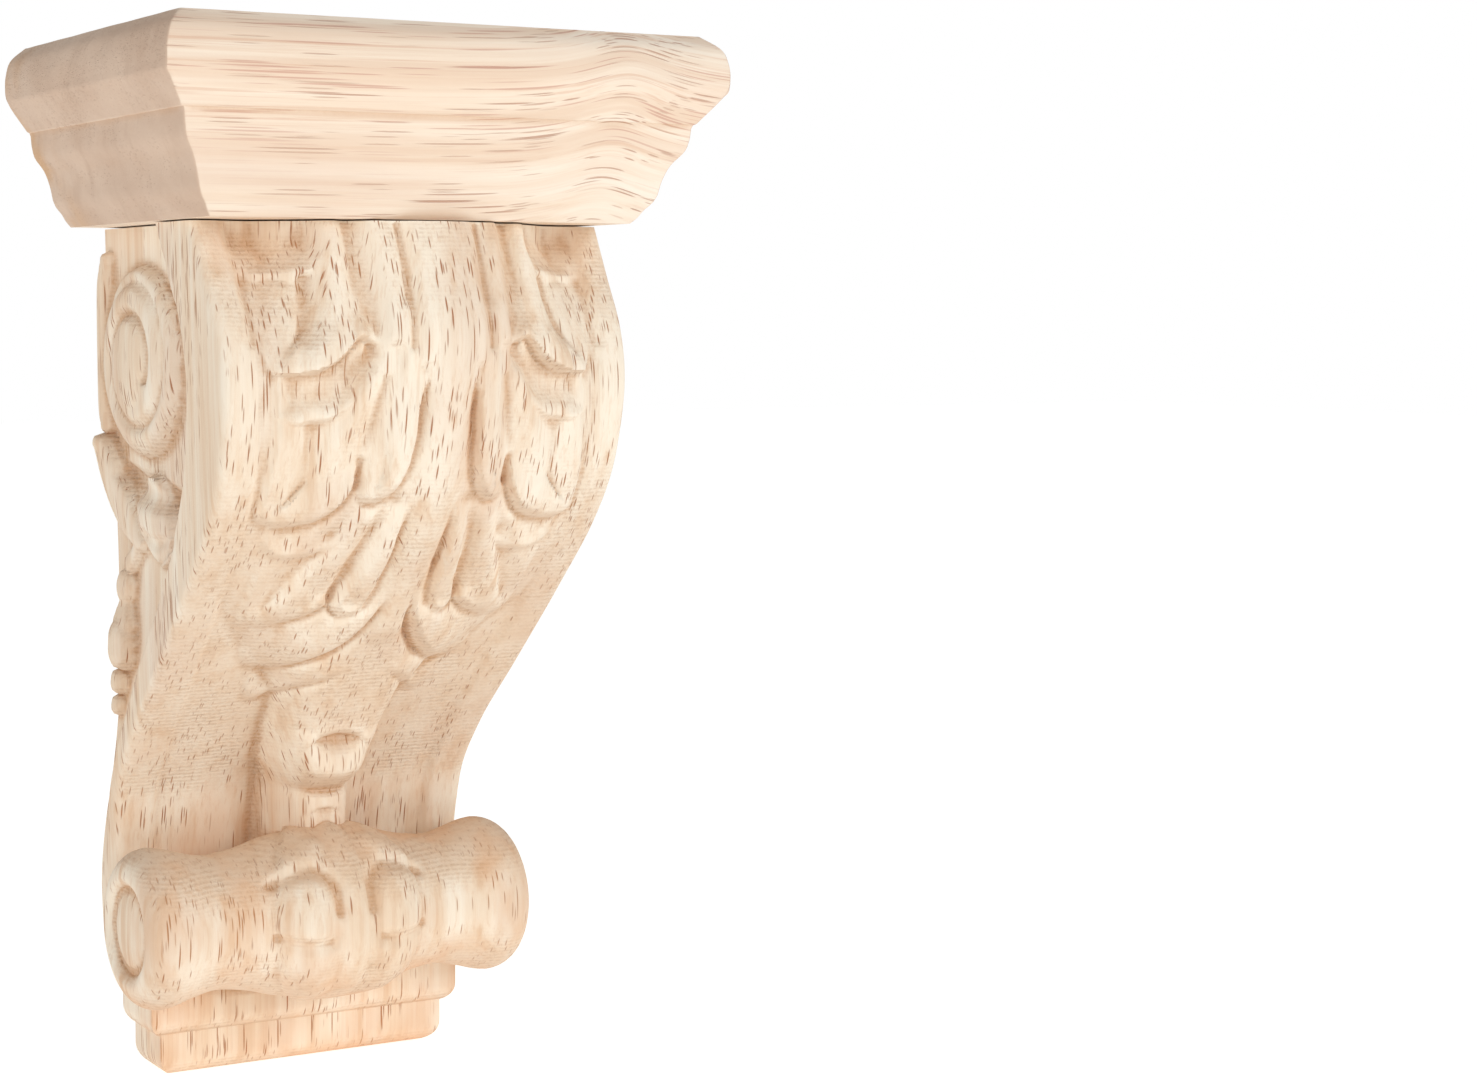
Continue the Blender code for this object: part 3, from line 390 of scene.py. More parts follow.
def voluteRelief(depth, drop):
    dx = depth - side["volute"][0]
    dz = side["volute"][1] - drop
    radius = np.hypot(dx, dz)
    angle = np.mod(np.arctan2(dz, -dx), 2 * math.pi)
    rise = side["volute rise"] * np.sqrt(np.clip(1 - (radius / side["volute radius"])**6, 0, 1))
    pitch = (side["volute radius"] - side["eye"][1]) / side["turns"]
    inset, deep, wide = side["groove"]
    for turn in range(math.ceil(side["turns"])):
        wound = turn + angle / (2 * math.pi)
        line = side["volute radius"] - inset - pitch * wound
        groove = deep * np.exp(-((radius - line) / wide)**2) * (wound < side["turns"])
        rise = rise - np.where(radius < side["volute radius"], groove, 0)
    eye = np.hypot(dx / side["eye"][0], dz / side["eye"][1])
    return np.maximum(rise, 0) + side["eye rise"] * np.sqrt(np.clip(1 - eye**2, 0, 1))


def sideRelief(depth, drop, fullDepth):
    slope = smoothLine(side["slope"], drop)
    rim = smoothLine(side["rim"], drop)
    panel = -smoothLine(side["panel"], drop) * ease((fullDepth - rim - depth) / slope)
    carving = voluteRelief(depth, drop)
    for points, heights in side["strokes"]:
        stroke = raised(points, heights, side["edge share"], depth, drop, bracket["bevel"])
        carving = np.maximum(carving, stroke)
    for points, depths in side["cuts"]:
        carving = carving - sunk(points, depths, depth, drop)
    return panel + carving


# every level of the bracket: up the left side, across the front and back down the right
def bracketRings():
    count, across = bracket["side columns"], bracket["front columns"]
    corner = bracket["corner"]
    drops = np.linspace(bracket["top"], bracket["end"], bracket["levels"])
    full = smoothLine(bracket["edge line"], drops)
    half = bracket["half width"] - bracket["taper"] * drops
    share = np.linspace(0, 1, count)
    depths = share[None, :] * (full - corner)[:, None]
    level = np.repeat(drops[:, None], count, 1)
    sides = half[:, None] + sideRelief(depths, level, full[:, None])
    share = np.linspace(-1, 1, across)
    xs = share[None, :] * (half - corner)[:, None]
    level = np.repeat(drops[:, None], across, 1)
    fronts = full[:, None] + frontRelief(xs, level, half[:, None])
    turns = np.linspace(0, math.pi / 2, bracket["corner steps"] + 1)[1:-1]
    cornerX = half[:, None] - corner * (1 - np.cos(turns))[None, :]
    cornerY = full[:, None] - corner * (1 - np.sin(turns))[None, :]
    x = np.concatenate([-sides, -cornerX, xs, cornerX[:, ::-1], sides[:, ::-1]], axis=1)
    y = -np.concatenate([depths, cornerY, fronts, cornerY[:, ::-1], depths[:, ::-1]], axis=1)
    z = np.repeat(heightOf(drops)[:, None], x.shape[1], 1)
    return np.stack([x, y, z], axis=2)


roll = {
    "depth": 20.5,
    "drop": 167.8,
    "radius": 15.5,
    "outline": [(0, 0.6), (10, 0.2), (18, -1.8), (25, -2.4), (30, -1.3), (34, -0.2), (35.6, 0.0)],
    "half length": 41.2,
    "shoulder": 35.6,
    "face radius": 10.2,
    "end rings": [(0.7, 9.0), (1.5, 8.4), (1.4, 7.4), (0.9, 6.4), (0.6, 4.2), (0.5, 1.8)],
    "sides": 120,
    "rings": 54,
    "shoulder steps": 11,
    "leaf reach": 30.0,
    "edge share": 0.6,
    # the leaf: (distance from the middle, degrees above the front, half width) and heights
    "strokes": [
        ([(0, 88, 7.5), (0, 40, 14.0), (0, 5, 15.2), (0, -25, 14.6), (0, -50, 10.5), (0, -72, 7.0)],
         (1.5, 1.2)),
    ],
    # soft swells on it: the midrib, the egg on each side, the lower leaf and the upper tendrils
    "swells": [
        ([(0, 80, 3.0), (0, 20, 2.8), (0, -40, 3.2)], (1.0, 1.2)),
        ([(9.6, 27, 5.0), (10.0, 14, 6.4), (9.8, 2, 5.4)], (1.5, 1.7)),
        ([(5.0, -14, 3.4), (9.0, -28, 5.6), (7.4, -46, 4.4)], (0.9, 0.9)),
        ([(6.0, 60, 3.0), (9.4, 52, 3.4), (14.0, 47, 2.6)], (0.9, 0.6)),
    ],
    "cuts": [
        ([(3.6, 12, 1.2), (3.8, 26, 1.5), (6.0, 37, 1.5), (10.5, 39.5, 1.3), (16.0, 37, 1.0)], (1.0, 0.9)),
        ([(5.5, -8.0, 0.9), (10.5, -8.5, 1.0), (15.4, -5.0, 0.9)], (1.0, 0.9)),
    ],
}


# a stroke's degrees become millimetres round the roll
def unrolled(points):
    return [(aside, math.radians(turn) * roll["radius"], width) for aside, turn, width in points]


def rollRelief(x, degrees):
    aside = np.abs(x)
    arc = np.radians(degrees) * roll["radius"]
    carved = np.zeros(aside.shape)
    for points, heights in roll["strokes"]:
        stroke = raised(unrolled(points), heights, roll["edge share"], aside, arc, bracket["bevel"])
        carved = np.maximum(carved, stroke)
    for points, heights in roll["swells"]:
        carved = carved + swelled(unrolled(points), heights, aside, arc)
    for points, depths in roll["cuts"]:
        carved = carved - sunk(unrolled(points), depths, aside, arc)
    return carved


# rings from one end of the roll to the other, with a rounded shoulder and a stepped face at each end
def rollRings():
    places = np.linspace(0, roll["shoulder"], roll["rings"])
    line = list(zip(places, roll["radius"] + smoothLine(roll["outline"], places)))
    out = roll["half length"] - roll["shoulder"]
    fall = roll["radius"] - roll["face radius"]
    for angle in np.linspace(0, math.pi / 2, roll["shoulder steps"])[1:]:
        line.append((roll["shoulder"] + out * math.sin(angle), roll["radius"] - fall * (1 - math.cos(angle))))
    line += [(roll["half length"] - inset, radius) for inset, radius in roll["end rings"]]
    line = np.array([(-x, radius) for x, radius in reversed(line)] + line[1:])
    turns = np.arange(roll["sides"]) * 360.0 / roll["sides"]
    degrees = np.mod(turns + 180, 360) - 180
    x = np.repeat(line[:, :1], roll["sides"], 1)
    lift = rollRelief(x, np.repeat(degrees[None, :], len(line), 0)) * (np.abs(x) < roll["leaf reach"])
    radius = line[:, 1:] + lift
    y = -roll["depth"] - radius * np.cos(np.radians(turns))[None, :]
    z = heightOf(roll["drop"]) + radius * np.sin(np.radians(turns))[None, :]
    return np.stack([x, y, z], axis=2)


# tiers: half width, depth, first drop, last drop, edge radius
foot = {
    "upper": (33.6, 15.2, 166.0, 191.6, 4.0),
    "lower": (31.0, 13.2, 184.0, 200.0, 4.4),
    "segments": 8,
    # how close to the underside or the wall an edge counts as lying there
    "slack": 0.01,
}


# a block of the foot, its lower edges rounded but for the one at the wall
def makeTier(name, size):
    half, depth, first, last, radius = size
    bpy.ops.object.select_all(action="DESELECT")
    bpy.ops.mesh.primitive_cube_add(size=1, location=(0, -depth / 2 * mm, heightOf((first + last) / 2) * mm),
                                    scale=(2 * half * mm, depth * mm, (last - first) * mm))
    tier = bpy.context.object
    tier.name = name
    bpy.ops.object.transform_apply(location=True, rotation=True, scale=True)
    slack = foot["slack"] * mm
    low = heightOf(last) * mm + slack
    for edge in tier.data.edges:
        ends = [tier.data.vertices[v].co for v in edge.vertices]
        edge.select = all(p.z < low for p in ends) and not all(p.y > -slack for p in ends)
    for vertex in tier.data.vertices:
        vertex.select = False
    for face in tier.data.polygons:
        face.select = False
    bpy.ops.object.mode_set(mode="EDIT")
    bpy.ops.mesh.select_mode(type="EDGE")
    bpy.ops.mesh.bevel(offset=radius * mm, segments=foot["segments"], profile=0.5, affect="EDGES")
    bpy.ops.mesh.select_mode(type="VERT")
    bpy.ops.object.mode_set(mode="OBJECT")
    return tier


body = gridSkin("carvedBody", bracketRings())
others = [gridSkin("rollTool", rollRings()), makeTier("upperTier", foot["upper"]),
          makeTier("lowerTier", foot["lower"])]
for other in others:
    union = body.modifiers.new("join", "BOOLEAN")
    union.operation = "UNION"
    union.solver = "EXACT"
    union.object = other
    bpy.ops.object.select_all(action="DESELECT")
    bpy.context.view_layer.objects.active = body
    body.select_set(True)
    bpy.ops.object.modifier_apply(modifier="join")
for other in others:
    bpy.data.objects.remove(other, do_unlink=True)
print("bracket carved,", len(body.data.polygons), "faces")

# the cap

cap = {
    "half width": 55.4,
    "depth": 80.3,
    "nose": [(0, 4.1), (2.2, 1.4), (5.2, 0.2), (7.6, 0.0), (9.9, 0.3), (10.5, 0.6), (15.7, 4.3)],
    "band": [(15.95, 4.8), (16.2, 5.0), (18.4, 5.2)],
    "ogee": [(18.4, 5.2), (20.6, 5.8), (23.0, 7.6), (25.6, 8.7), (28.6, 9.4)],
    "bead": [(28.6, 9.4), (29.9, 10.0), (31.3, 11.2), (32.6, 12.0), (33.7, 13.0)],
    # levels in each part, and columns along an end, the front and a corner
    "levels": {"nose": 30, "band": 5, "ogee": 16, "bead": 9},
    "end columns": 60,
    "front columns": 90,
    "corner columns": 4,
    "least step": 0.01,
    "mitre": 0.5,
    # glued a little left of the middle
    "shift": -0.7,
    # how far an end's face wanders, the front's share of that, and what stays straight beside a corner
    "wobble": 0.16,
    "front wobble": 0.6,
    "straight": 3.0,
    # waves per millimetre along and down, and where each starts
    "waves": [(0.11, 0.2, 0.2), (0.23, 0.5, 1.4), (0.47, 0.3, 2.1)],
    "front start": 90.0,
    # a fine ridge along both ends: its drop, height and half width
    "ridge": (10.2, 0.35, 0.6),
    # where the growth lines rise, how far along and how high
    "knot": 33.0,
    "knot width": 11.0,
    "knot rise": 4.6,
    "smooth below": 35,
    "hollow rounds": 10,
}


# hand-sanded edges wander a little along their length
def wander(along, drop):
    waves = cap["waves"]
    return sum(math.sin(along * pace + drop * tilt + start) for pace, tilt, start in waves) / len(waves)


# every level of the cap: out along the left end, across the front and back along the right end
def capRings():
    levels = []
    for part, count in cap["levels"].items():
        line = cap[part]
        for drop in np.linspace(line[0][0], line[-1][0], count):
            inset = np.interp(drop, *np.array(line).T) if part == "band" else smoothLine(line, drop)
            if not levels or drop > levels[-1][0] + cap["least step"]:
                levels.append((drop, float(inset)))
    turn = cap["mitre"]
    arc = np.linspace(0, math.pi / 2, cap["corner columns"])[1:-1]
    corner = [(turn * (1 - math.cos(angle)), turn * (1 - math.sin(angle))) for angle in arc]
    place, height, width = cap["ridge"]
    rings = []
    for drop, inset in levels:
        half = cap["half width"] - inset
        front = cap["depth"] - inset
        alongSide = np.linspace(0, front - turn, cap["end columns"])
        ridge = height * math.exp(-((drop - place) / width)**2)
        sway = [cap["wobble"] * wander(d, drop) - ridge for d in alongSide]
        sway[0] = 0
        ring = [(-half + w, -d) for d, w in zip(alongSide, sway)]
        ring += [(-half + inward + sway[-1], -front + back) for inward, back in corner]
        for x in np.linspace(turn - half, half - turn, cap["front columns"]):
            loose = abs(x) < half - cap["straight"]
            wave = cap["wobble"] * cap["front wobble"] * wander(x + cap["front start"], drop) * loose
            ring.append((x, -front + wave))
        ring += [(half - inward, -front + back) for inward, back in reversed(corner)]
        ring += [(half - w, -d) for d, w in zip(reversed(alongSide), reversed(sway))]
        rings.append([(x + cap["shift"], y, heightOf(drop)) for x, y in ring])
    return np.array(rings)


block = gridSkin("capBlock", capRings())
print("cap moulded,", len(block.data.polygons), "faces")

finishPiece(body, bracket["smooth below"])
finishPiece(block, cap["smooth below"])


# hollows and edges as a vertex attribute, from how far a smoothed surface lies outside the real one
smoothing = {
    "longest edge": 4.0,
    "pull": 0.6,
    "least weight": 0.000001,
}


def markHollows(piece, rounds):
    mesh = piece.data
    count = len(mesh.vertices)
    place = np.empty(count * 3)
    mesh.vertices.foreach_get("co", place)
    place = place.reshape(-1, 3)
    normal = np.empty(count * 3)
    mesh.vertices.foreach_get("normal", normal)
    normal = normal.reshape(-1, 3)
    edges = np.empty(len(mesh.edges) * 2, dtype=np.int64)
    mesh.edges.foreach_get("vertices", edges)
    first, second = edges.reshape(-1, 2).T
    length = np.linalg.norm(place[first] - place[second], axis=1)
    weight = np.where(length < smoothing["longest edge"] * mm, 1.0, 0.0)
    total = np.bincount(first, weight, count) + np.bincount(second, weight, count) + smoothing["least weight"]
    smooth = place.copy()
    for _ in range(rounds):
        moved = np.empty_like(smooth)
        for axis in range(3):
            value = smooth[:, axis]
            moved[:, axis] = (np.bincount(first, weight * value[second], count)
                              + np.bincount(second, weight * value[first], count)) / total
        lone = total < 1
        moved[lone] = smooth[lone]
        smooth = smooth * (1 - smoothing["pull"]) + moved * smoothing["pull"]
    hollow = ((smooth - place) * normal).sum(axis=1) / mm
    attribute = mesh.attributes.new("hollow", "FLOAT", "POINT")
    attribute.data.foreach_set("value", hollow)
    print(piece.name, "hollows", round(float(hollow.min()), 2), round(float(hollow.max()), 2))


markHollows(body, bracket["hollow rounds"])
markHollows(block, cap["hollow rounds"])


# wood

class Flow:
    # one output socket, with sums written as sums
    def __init__(self, finish, socket):
        self.finish = finish
        self.socket = socket

    def maths(self, kind, first, second):
        return self.finish.node("ShaderNodeMath", {"operation": kind}, {0: first, 1: second})

    def __add__(self, other):
        return self.maths("ADD", self, other)

    def __radd__(self, other):
        return self.maths("ADD", other, self)

    def __sub__(self, other):
        return self.maths("SUBTRACT", self, other)

    def __rsub__(self, other):
        return self.maths("SUBTRACT", other, self)

    def __mul__(self, other):
        return self.maths("MULTIPLY", self, other)

    def __rmul__(self, other):
        return self.maths("MULTIPLY", other, self)

    def __truediv__(self, other):
        return self.maths("DIVIDE", self, other)

    def __rtruediv__(self, other):
        return self.maths("DIVIDE", other, self)


class Finish:
    # the nodes of a material or of the sky
    def __init__(self, material, shader="Principled BSDF"):
        material.use_nodes = True
        self.material = material
        self.tree = material.node_tree
        self.shader = self.tree.nodes[shader]

    # settings first, then values or links of the sockets
    def node(self, kind, settings=None, sockets=None, out=0):
        made = self.tree.nodes.new(kind)
        for key, value in (settings or {}).items():
            setattr(made, key, value)
        for key, value in (sockets or {}).items():
            if isinstance(value, Flow):
                self.tree.links.new(value.socket, made.inputs[key])
            else:
                made.inputs[key].default_value = value
        return Flow(self, made.outputs[out])

    def feed(self, name, value):
        if isinstance(value, Flow):
            self.tree.links.new(value.socket, self.shader.inputs[name])
        else:
            self.shader.inputs[name].default_value = value

    def objectPlace(self):
        return self.node("ShaderNodeTexCoord", {}, {}, out=3)

    def axis(self, place, number):
        return self.node("ShaderNodeSeparateXYZ", {}, {"Vector": place}, out=number)

    # how squarely the surface faces along an axis
    def facing(self, number):
        turned = self.axis(self.node("ShaderNodeTexCoord", {}, {}, out=1), number)
        return self.node("ShaderNodeMath", {"operation": "ABSOLUTE"}, {0: turned})

    def hollows(self, low, high):
        return self.step(self.node("ShaderNodeAttribute", {"attribute_name": "hollow"}, {}, out=2), low, high)

    # a smooth step from 0 to 1 between two values
    def step(self, value, low, high):
        return self.node("ShaderNodeMapRange", {"interpolation_type": "SMOOTHSTEP"},
                         {"Value": value, "From Min": low, "From Max": high, "To Min": 0.0, "To Max": 1.0})

    def scaled(self, scales, shift):
        return self.node("ShaderNodeMapping", {"vector_type": "POINT"},
                         {"Vector": self.place, "Scale": scales, "Location": shift})

    # noise with its own scale per metre on each axis
    def noise(self, scales, detail=2.0, rough=0.5, shift=(0, 0, 0), twist=0.0):
        return self.plainNoise(self.scaled(scales, shift), 1.0, detail, rough, twist)

    def plainNoise(self, place, scale, detail, rough, twist=0.0):
        return self.node("ShaderNodeTexNoise", {}, {"Vector": place, "Scale": scale, "Detail": detail,
                                                    "Roughness": rough, "Distortion": twist})

    # thin dashes, one in each stretched cell, in a share of the cells
    def dashes(self, scales, size, share, shift):
        place = self.scaled(scales, shift)
        far = self.node("ShaderNodeTexVoronoi", {}, {"Vector": place, "Scale": 1.0}, out=0)
        cell = Flow(self, far.socket.node.outputs[1])
        chance = self.node("ShaderNodeSeparateColor", {}, {"Color": cell})
        picked = self.step(share - chance, 0.0, 0.12)
        return (1 - self.step(far, size * 0.55, size)) * picked

    def blend(self, mask, first, second):
        return self.node("ShaderNodeMix", {"data_type": "RGBA"}, {0: mask, 6: first, 7: second}, out=2)

    # one of the wood's colours over another colour
    def stain(self, mask, colour, name):
        return self.blend(mask, colour, wood[name])

    # colour, roughness and bump go to the shader
    def close(self, look, colour, height):
        self.feed("Base Color", colour)
        self.feed("Roughness", look["roughness"])
        self.feed("Specular IOR Level", look["gloss"])
        self.feed("Normal", self.node("ShaderNodeBump", {}, {
            "Strength": look["bump strength"], "Distance": look["bump depth"] * mm, "Height": height}))
        return self.material


# a colour as seen on a screen, from 0 to 255, as the shader's linear one
def linear(red, green, blue):
    levels = [value / 255 for value in (red, green, blue)]
    return tuple(c / 12.92 if c <= 0.04045 else ((c + 0.055) / 1.055)**2.4 for c in levels) + (1.0,)


wood = {
    "cream": linear(253, 241, 222),
    "honey": linear(242, 219, 192),
    "tan": linear(226, 191, 157),
    "rose": linear(224, 190, 164),
    "pore": linear(176, 108, 62),
    # painted shade for the deep hollows
    "hollow": linear(196, 146, 98),
    "end": linear(222, 196, 170),
    "speck": linear(196, 160, 126),
    # painted warm bounce light for the lower part
    "paintedWarmLight": linear(226, 168, 116),
    "line": linear(212, 156, 112),
    "cap line": linear(190, 118, 84),
    "cap pale": linear(253, 240, 229),
    "cap stroke": linear(196, 166, 143),
    "cap torn": linear(216, 170, 118),
    "cap end": linear(219, 193, 171),
    "cap end dark": linear(207, 178, 155),
}

# grain: the axis it runs along, figure: growth lines per metre across it
# pores: cells per metre on each axis for fine and for coarse dashes, thin across a face, deep into it
carvedLook = {
    "grain": 2,
    "seed": 3.0,
    "figure": 260,
    "pore share": 0.22,
    # as seen on the sides, then as seen on the front
    "pores": [((600, 2500, 170), (450, 1900, 72)), ((2500, 600, 170), (1900, 450, 72))],
    # the cutter's step lines
    "comb pitch": 0.78,
    "comb wander": 0.6,
    "roughness": 0.72,
    "gloss": 0.3,
    "bump strength": 0.6,
    "bump depth": 0.24,
}

capLook = {
    "grain": 0,
    "seed": 8.0,
    "figure": 420,
    "pore share": 0.30,
    "pores": [((70, 2500, 2500), (30, 1900, 1900))],
    "roughness": 0.72,
    "gloss": 0.3,
    "bump strength": 0.55,
    "bump depth": 0.22,
}


# short and long dashes together, more of them where the pores crowd
def poreDashes(finish, look, cells, crowd):
    share, seed = look["pore share"], look["seed"]
    short = finish.dashes(cells[0], 0.34, share * 0.7 + crowd * share, (seed, 1, 2))
    long = finish.dashes(cells[1], 0.31, share * 0.8 + crowd * share * 2.0, (2, seed, 5))
    return finish.node("ShaderNodeMath", {"operation": "MAXIMUM"}, {0: short * 0.75, 1: long})


# the colours and bumps that both pieces share, on a place stretched along the grain
def woodColours(finish, look):
    grain, seed, figure = look["grain"], look["seed"], look["figure"]

    def scaled(across, along):
        return tuple(along if axis == grain else across for axis in range(3))

    shift = (seed, seed * 1.7, seed * 0.6)
    broad = finish.noise(scaled(34, 6), 3.0, 0.55, shift, 0.6)
    streak = finish.noise(scaled(figure, 9), 4.0, 0.62, shift, 0.15)
    fibre = finish.noise(scaled(1500, 40), 3.0, 0.65, shift)
    tone = finish.step(broad * 0.5 + streak * 0.5, 0.40, 0.62)
    colour = finish.stain(tone, wood["cream"], "honey")
    late = finish.step(streak * 0.8 + broad * 0.2, 0.54, 0.68)
    colour = finish.stain(late * 0.6, colour, "tan")
    blush = finish.step(finish.noise(scaled(70, 12), 2.0, 0.5, (seed + 3, seed, 1)), 0.48, 0.70)
    colour = finish.stain(blush * 0.35, colour, "rose")
    colour = finish.stain(finish.step(fibre, 0.50, 0.70) * 0.30, colour, "tan")
    # open pores: dashes along the grain, denser in late wood
    crowd = finish.step(finish.noise(scaled(figure * 0.5, 10), 1.0, 0.5, (seed, 4, seed)), 0.40, 0.62)
    seen = [poreDashes(finish, look, cells, crowd) for cells in look["pores"]]
    pores = seen[0]
    if len(seen) > 1:
        beside = finish.step(finish.facing(0), 0.55, 0.75)
        pores = seen[0] * beside + seen[1] * (1 - beside)
    colour = finish.stain(pores * 0.9, colour, "pore")
    return colour, pores, fibre, streak


def carvedFinish():
    look = carvedLook
    finish = Finish(bpy.data.materials.new("carved wood"))
    finish.place = finish.objectPlace()
    colour, pores, fibre, streak = woodColours(finish, look)
    turned = finish.facing(2)
    hollow = finish.hollows(0.06, 0.60)
    fluff = finish.noise((1100, 1100, 1100), 3.0, 0.7, (3, 1, 2))
    colour = finish.stain(finish.step(turned, 0.25, 0.95) * 0.75, colour, "end")
    # the ball cutter's step lines, where the surface slopes or is hollow, broken up by the fibres
    high = finish.axis(finish.place, 2)
    uneven = finish.noise((140, 140, 90), 2.0, 0.5, (8, 2, 4)) * (look["comb wander"] * mm)
    wave = (high + uneven) * (2 * math.pi / (look["comb pitch"] * mm))
    comb = finish.node("ShaderNodeMath", {"operation": "SINE"}, {0: wave})
    patch = finish.step(finish.noise((85, 85, 60), 3.0, 0.6, (3, 7, 5)), 0.42, 0.60)
    where = finish.step(turned, 0.20, 0.62) * (0.35 + patch * 0.65) + hollow * 0.7
    specks = finish.step(fluff * 0.85 + comb * 0.09, 0.38, 0.58)
    colour = finish.stain(where * specks * 0.36, colour, "speck")
    # painted shade, brown and broken up by the fuzz, in the deep hollows; painted warm bounce light round the
    # corner above the roll
    # painted shade: the hollows of the carving darkened towards brown
    colour = finish.stain(hollow * (0.20 + fluff * 0.55), colour, "hollow")
    # painted warm bounce light: orange patches over the lower part of the bracket
    low = finish.step(high, -0.020, -0.062)
    paintedWarmLight = finish.step(finish.noise((60, 60, 28), 3.0, 0.6, (5, 2, 9)), 0.42, 0.66)
    colour = finish.stain(low * paintedWarmLight * 0.38, colour, "paintedWarmLight")
    height = fluff * (0.35 + where * 0.8) + fibre * 0.5 + streak * 0.2 + comb * where * 0.22 - pores * 0.9
    return finish.close(look, colour, height)


def capFinish():
    finish = Finish(bpy.data.materials.new("cap wood"))
    place = finish.objectPlace()
    x, y, z = [finish.axis(place, number) for number in range(3)]
    # the growth lines swing up round a knot near the right end
    away = (x - cap["knot"] * mm) * (1 / (cap["knot width"] * mm))
    bend = (cap["knot rise"] * mm) / (1 + away * away)
    finish.place = finish.node("ShaderNodeCombineXYZ", {}, {0: x, 1: y * 0.5, 2: z - bend})
    colour, pores, fibre, streak = woodColours(finish, capLook)
    # reddish lines, most of them in the upper half
    ring = finish.noise((4, 120, 230), 2.0, 0.55, (4, 2, 7), 0.1)
    upper = 0.14 + finish.step(z, 0.074, 0.084) * 0.86
    colour = finish.stain(finish.step(ring, 0.50, 0.62) * upper * 0.6, colour, "tan")
    line = finish.noise((11, 420, 1250), 4.0, 0.7, (4, 2, 7), 0.1)
    lines = finish.step(line, 0.55, 0.65) * (0.2 + ring) * upper
    colour = finish.stain(lines * 0.7, colour, "line")
    crowd = finish.step(ring, 0.42, 0.60)
    crisp = finish.dashes((24, 500, 1500), 0.32, crowd * 0.8, (1, 6, 2))
    crisp = crisp + finish.dashes((46, 600, 2300), 0.30, crowd * 0.7, (5, 2, 9))
    colour = finish.stain(crisp * upper * 0.75, colour, "cap line")
    colour = finish.stain(0.28, colour, "cap pale")
    # the ends show end grain: smudges and slanted strokes
    turned = finish.facing(0)
    smudge = finish.plainNoise(place, 48.0, 5.0, 0.55, 0.2)
    end = finish.stain(finish.step(smudge, 0.36, 0.66), wood["cap end"], "cap end dark")
    slanted = finish.node("ShaderNodeCombineXYZ", {}, {0: y + z * 0.6, 1: z * 0.18 - y * 0.3, 2: 0.0})
    stroke = finish.plainNoise(slanted, 160.0, 3.0, 0.6)
    end = finish.stain(finish.step(stroke, 0.52, 0.72) * 0.5, end, "cap stroke")
    # the back edge of an end is torn and warmer
    torn = finish.step(y, -0.016, 0.0) * finish.step(smudge, 0.42, 0.60)
    end = finish.stain(torn * 0.6, end, "cap torn")
    colour = finish.blend(finish.step(turned, 0.30, 0.70) * 0.94, colour, end)
    fluff = finish.plainNoise(place, 1100.0, 3.0, 0.7)
    # painted shade in the cap's hollows, broken up by the fuzz
    hollow = finish.hollows(0.05, 0.35)
    colour = finish.stain(hollow * (0.15 + fluff * 0.4), colour, "hollow")
    height = fluff * (0.25 + turned * 0.7) + fibre * 0.4 + streak * 0.2 - pores * 0.9
    return finish.close(capLook, colour, height)


for piece, material in ((body, carvedFinish()), (block, capFinish())):
    piece.data.materials.clear()
    piece.data.materials.append(material)
print("wood finished")

for piece, node, slot in ((body, "body", "carved_wood"), (block, "cap", "cap_wood")):
    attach(piece, "root")
    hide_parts(node)

# floor, light and camera

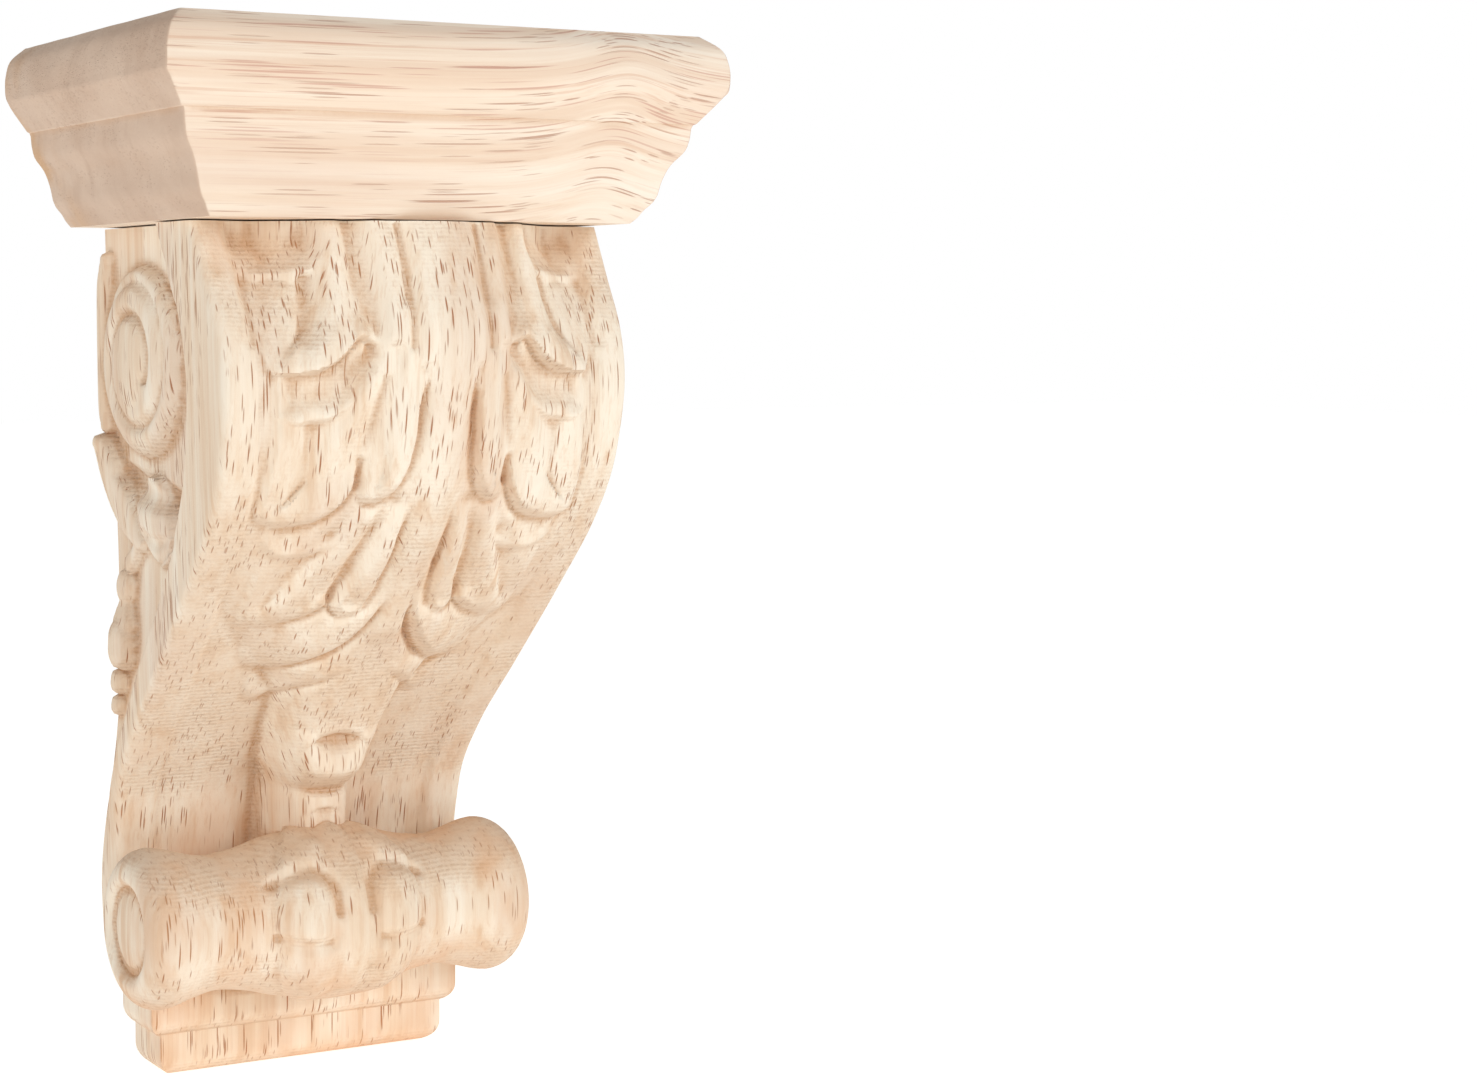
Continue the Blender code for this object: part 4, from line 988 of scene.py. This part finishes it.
stage = {
    "floor": linear(252, 250, 247),
    "floor size": 6,
    "floor roughness": 0.9,
    "photo size": (1477, 1079),
    "camera": (-0.2238, -0.4855, 0.0495),
    "turn": -26.86,
    "down": 4.88,
    "focal pixels": 2649.0,
    "sensor": 36,
    # where the view's middle lies in the photo's pixels
    "centre": (372.0, 541.0),
    # name, place, size, power; each looks at the aim
    "lights": [
        ("key", (0.50, -1.20, 0.46), 0.6, 5.6),
        ("left fill", (-1.30, -0.55, 0.25), 0.9, 4.1),
    ],
    "aim": (0, -0.03, 0),
    # the sky and the floor are white to the camera and softer as light
    "sky": 0.39,
    "floor glow": 0.64,
    "floor light": 0.70,
}
white = (1, 1, 1, 1)

bpy.ops.object.select_all(action="DESELECT")
bpy.ops.mesh.primitive_plane_add(size=stage["floor size"], location=(0, 0, heightOf(fullHeight) * mm))
floor = bpy.context.object
floor.name = "floor"
bpy.ops.object.transform_apply(location=True, rotation=True, scale=True)
paint = Finish(bpy.data.materials.new("pale floor"))
paint.feed("Base Color", stage["floor"])
paint.feed("Roughness", stage["floor roughness"])
glow = paint.blend(paint.node("ShaderNodeLightPath"), (stage["floor light"],) * 3 + (1,), white)
paint.feed("Emission Color", glow)
paint.feed("Emission Strength", stage["floor glow"])
floor.data.materials.append(paint.material)

for name, place, size, power in stage["lights"]:
    lamp = bpy.data.lights.new(name, "AREA")
    lamp.size = size
    lamp.energy = power
    holder = bpy.data.objects.new(name, lamp)
    bpy.context.scene.collection.objects.link(holder)
    holder.location = place
    holder.rotation_euler = (Vector(place) - Vector(stage["aim"])).to_track_quat("Z", "Y").to_euler()
sky = bpy.data.worlds.new("studio")
bpy.context.scene.world = sky
air = Finish(sky, "Background")
air.feed("Color", white)
level = air.node("ShaderNodeMix", {}, {0: air.node("ShaderNodeLightPath"), 2: stage["sky"], 3: 1.0})
air.feed("Strength", level)
bpy.context.scene.view_settings.view_transform = "Standard"

turn, down = math.radians(stage["turn"]), math.radians(stage["down"])
back = Vector((math.sin(turn) * math.cos(down), -math.cos(turn) * math.cos(down), math.sin(down)))
right = Vector((math.cos(turn), math.sin(turn), 0))
lens = bpy.data.cameras.new("photo camera")
lens.sensor_width = stage["sensor"]
width, height = stage["photo size"]
lens.lens = stage["focal pixels"] * stage["sensor"] / width
lens.shift_x = (width / 2 - stage["centre"][0]) / width
lens.shift_y = (stage["centre"][1] - height / 2) / width
camera = bpy.data.objects.new("photo camera", lens)
bpy.context.scene.collection.objects.link(camera)
placed = Matrix((right, back.cross(right), back)).transposed().to_4x4()
placed.translation = stage["camera"]
camera.matrix_world = placed
bpy.context.scene.camera = camera
print("stage set")
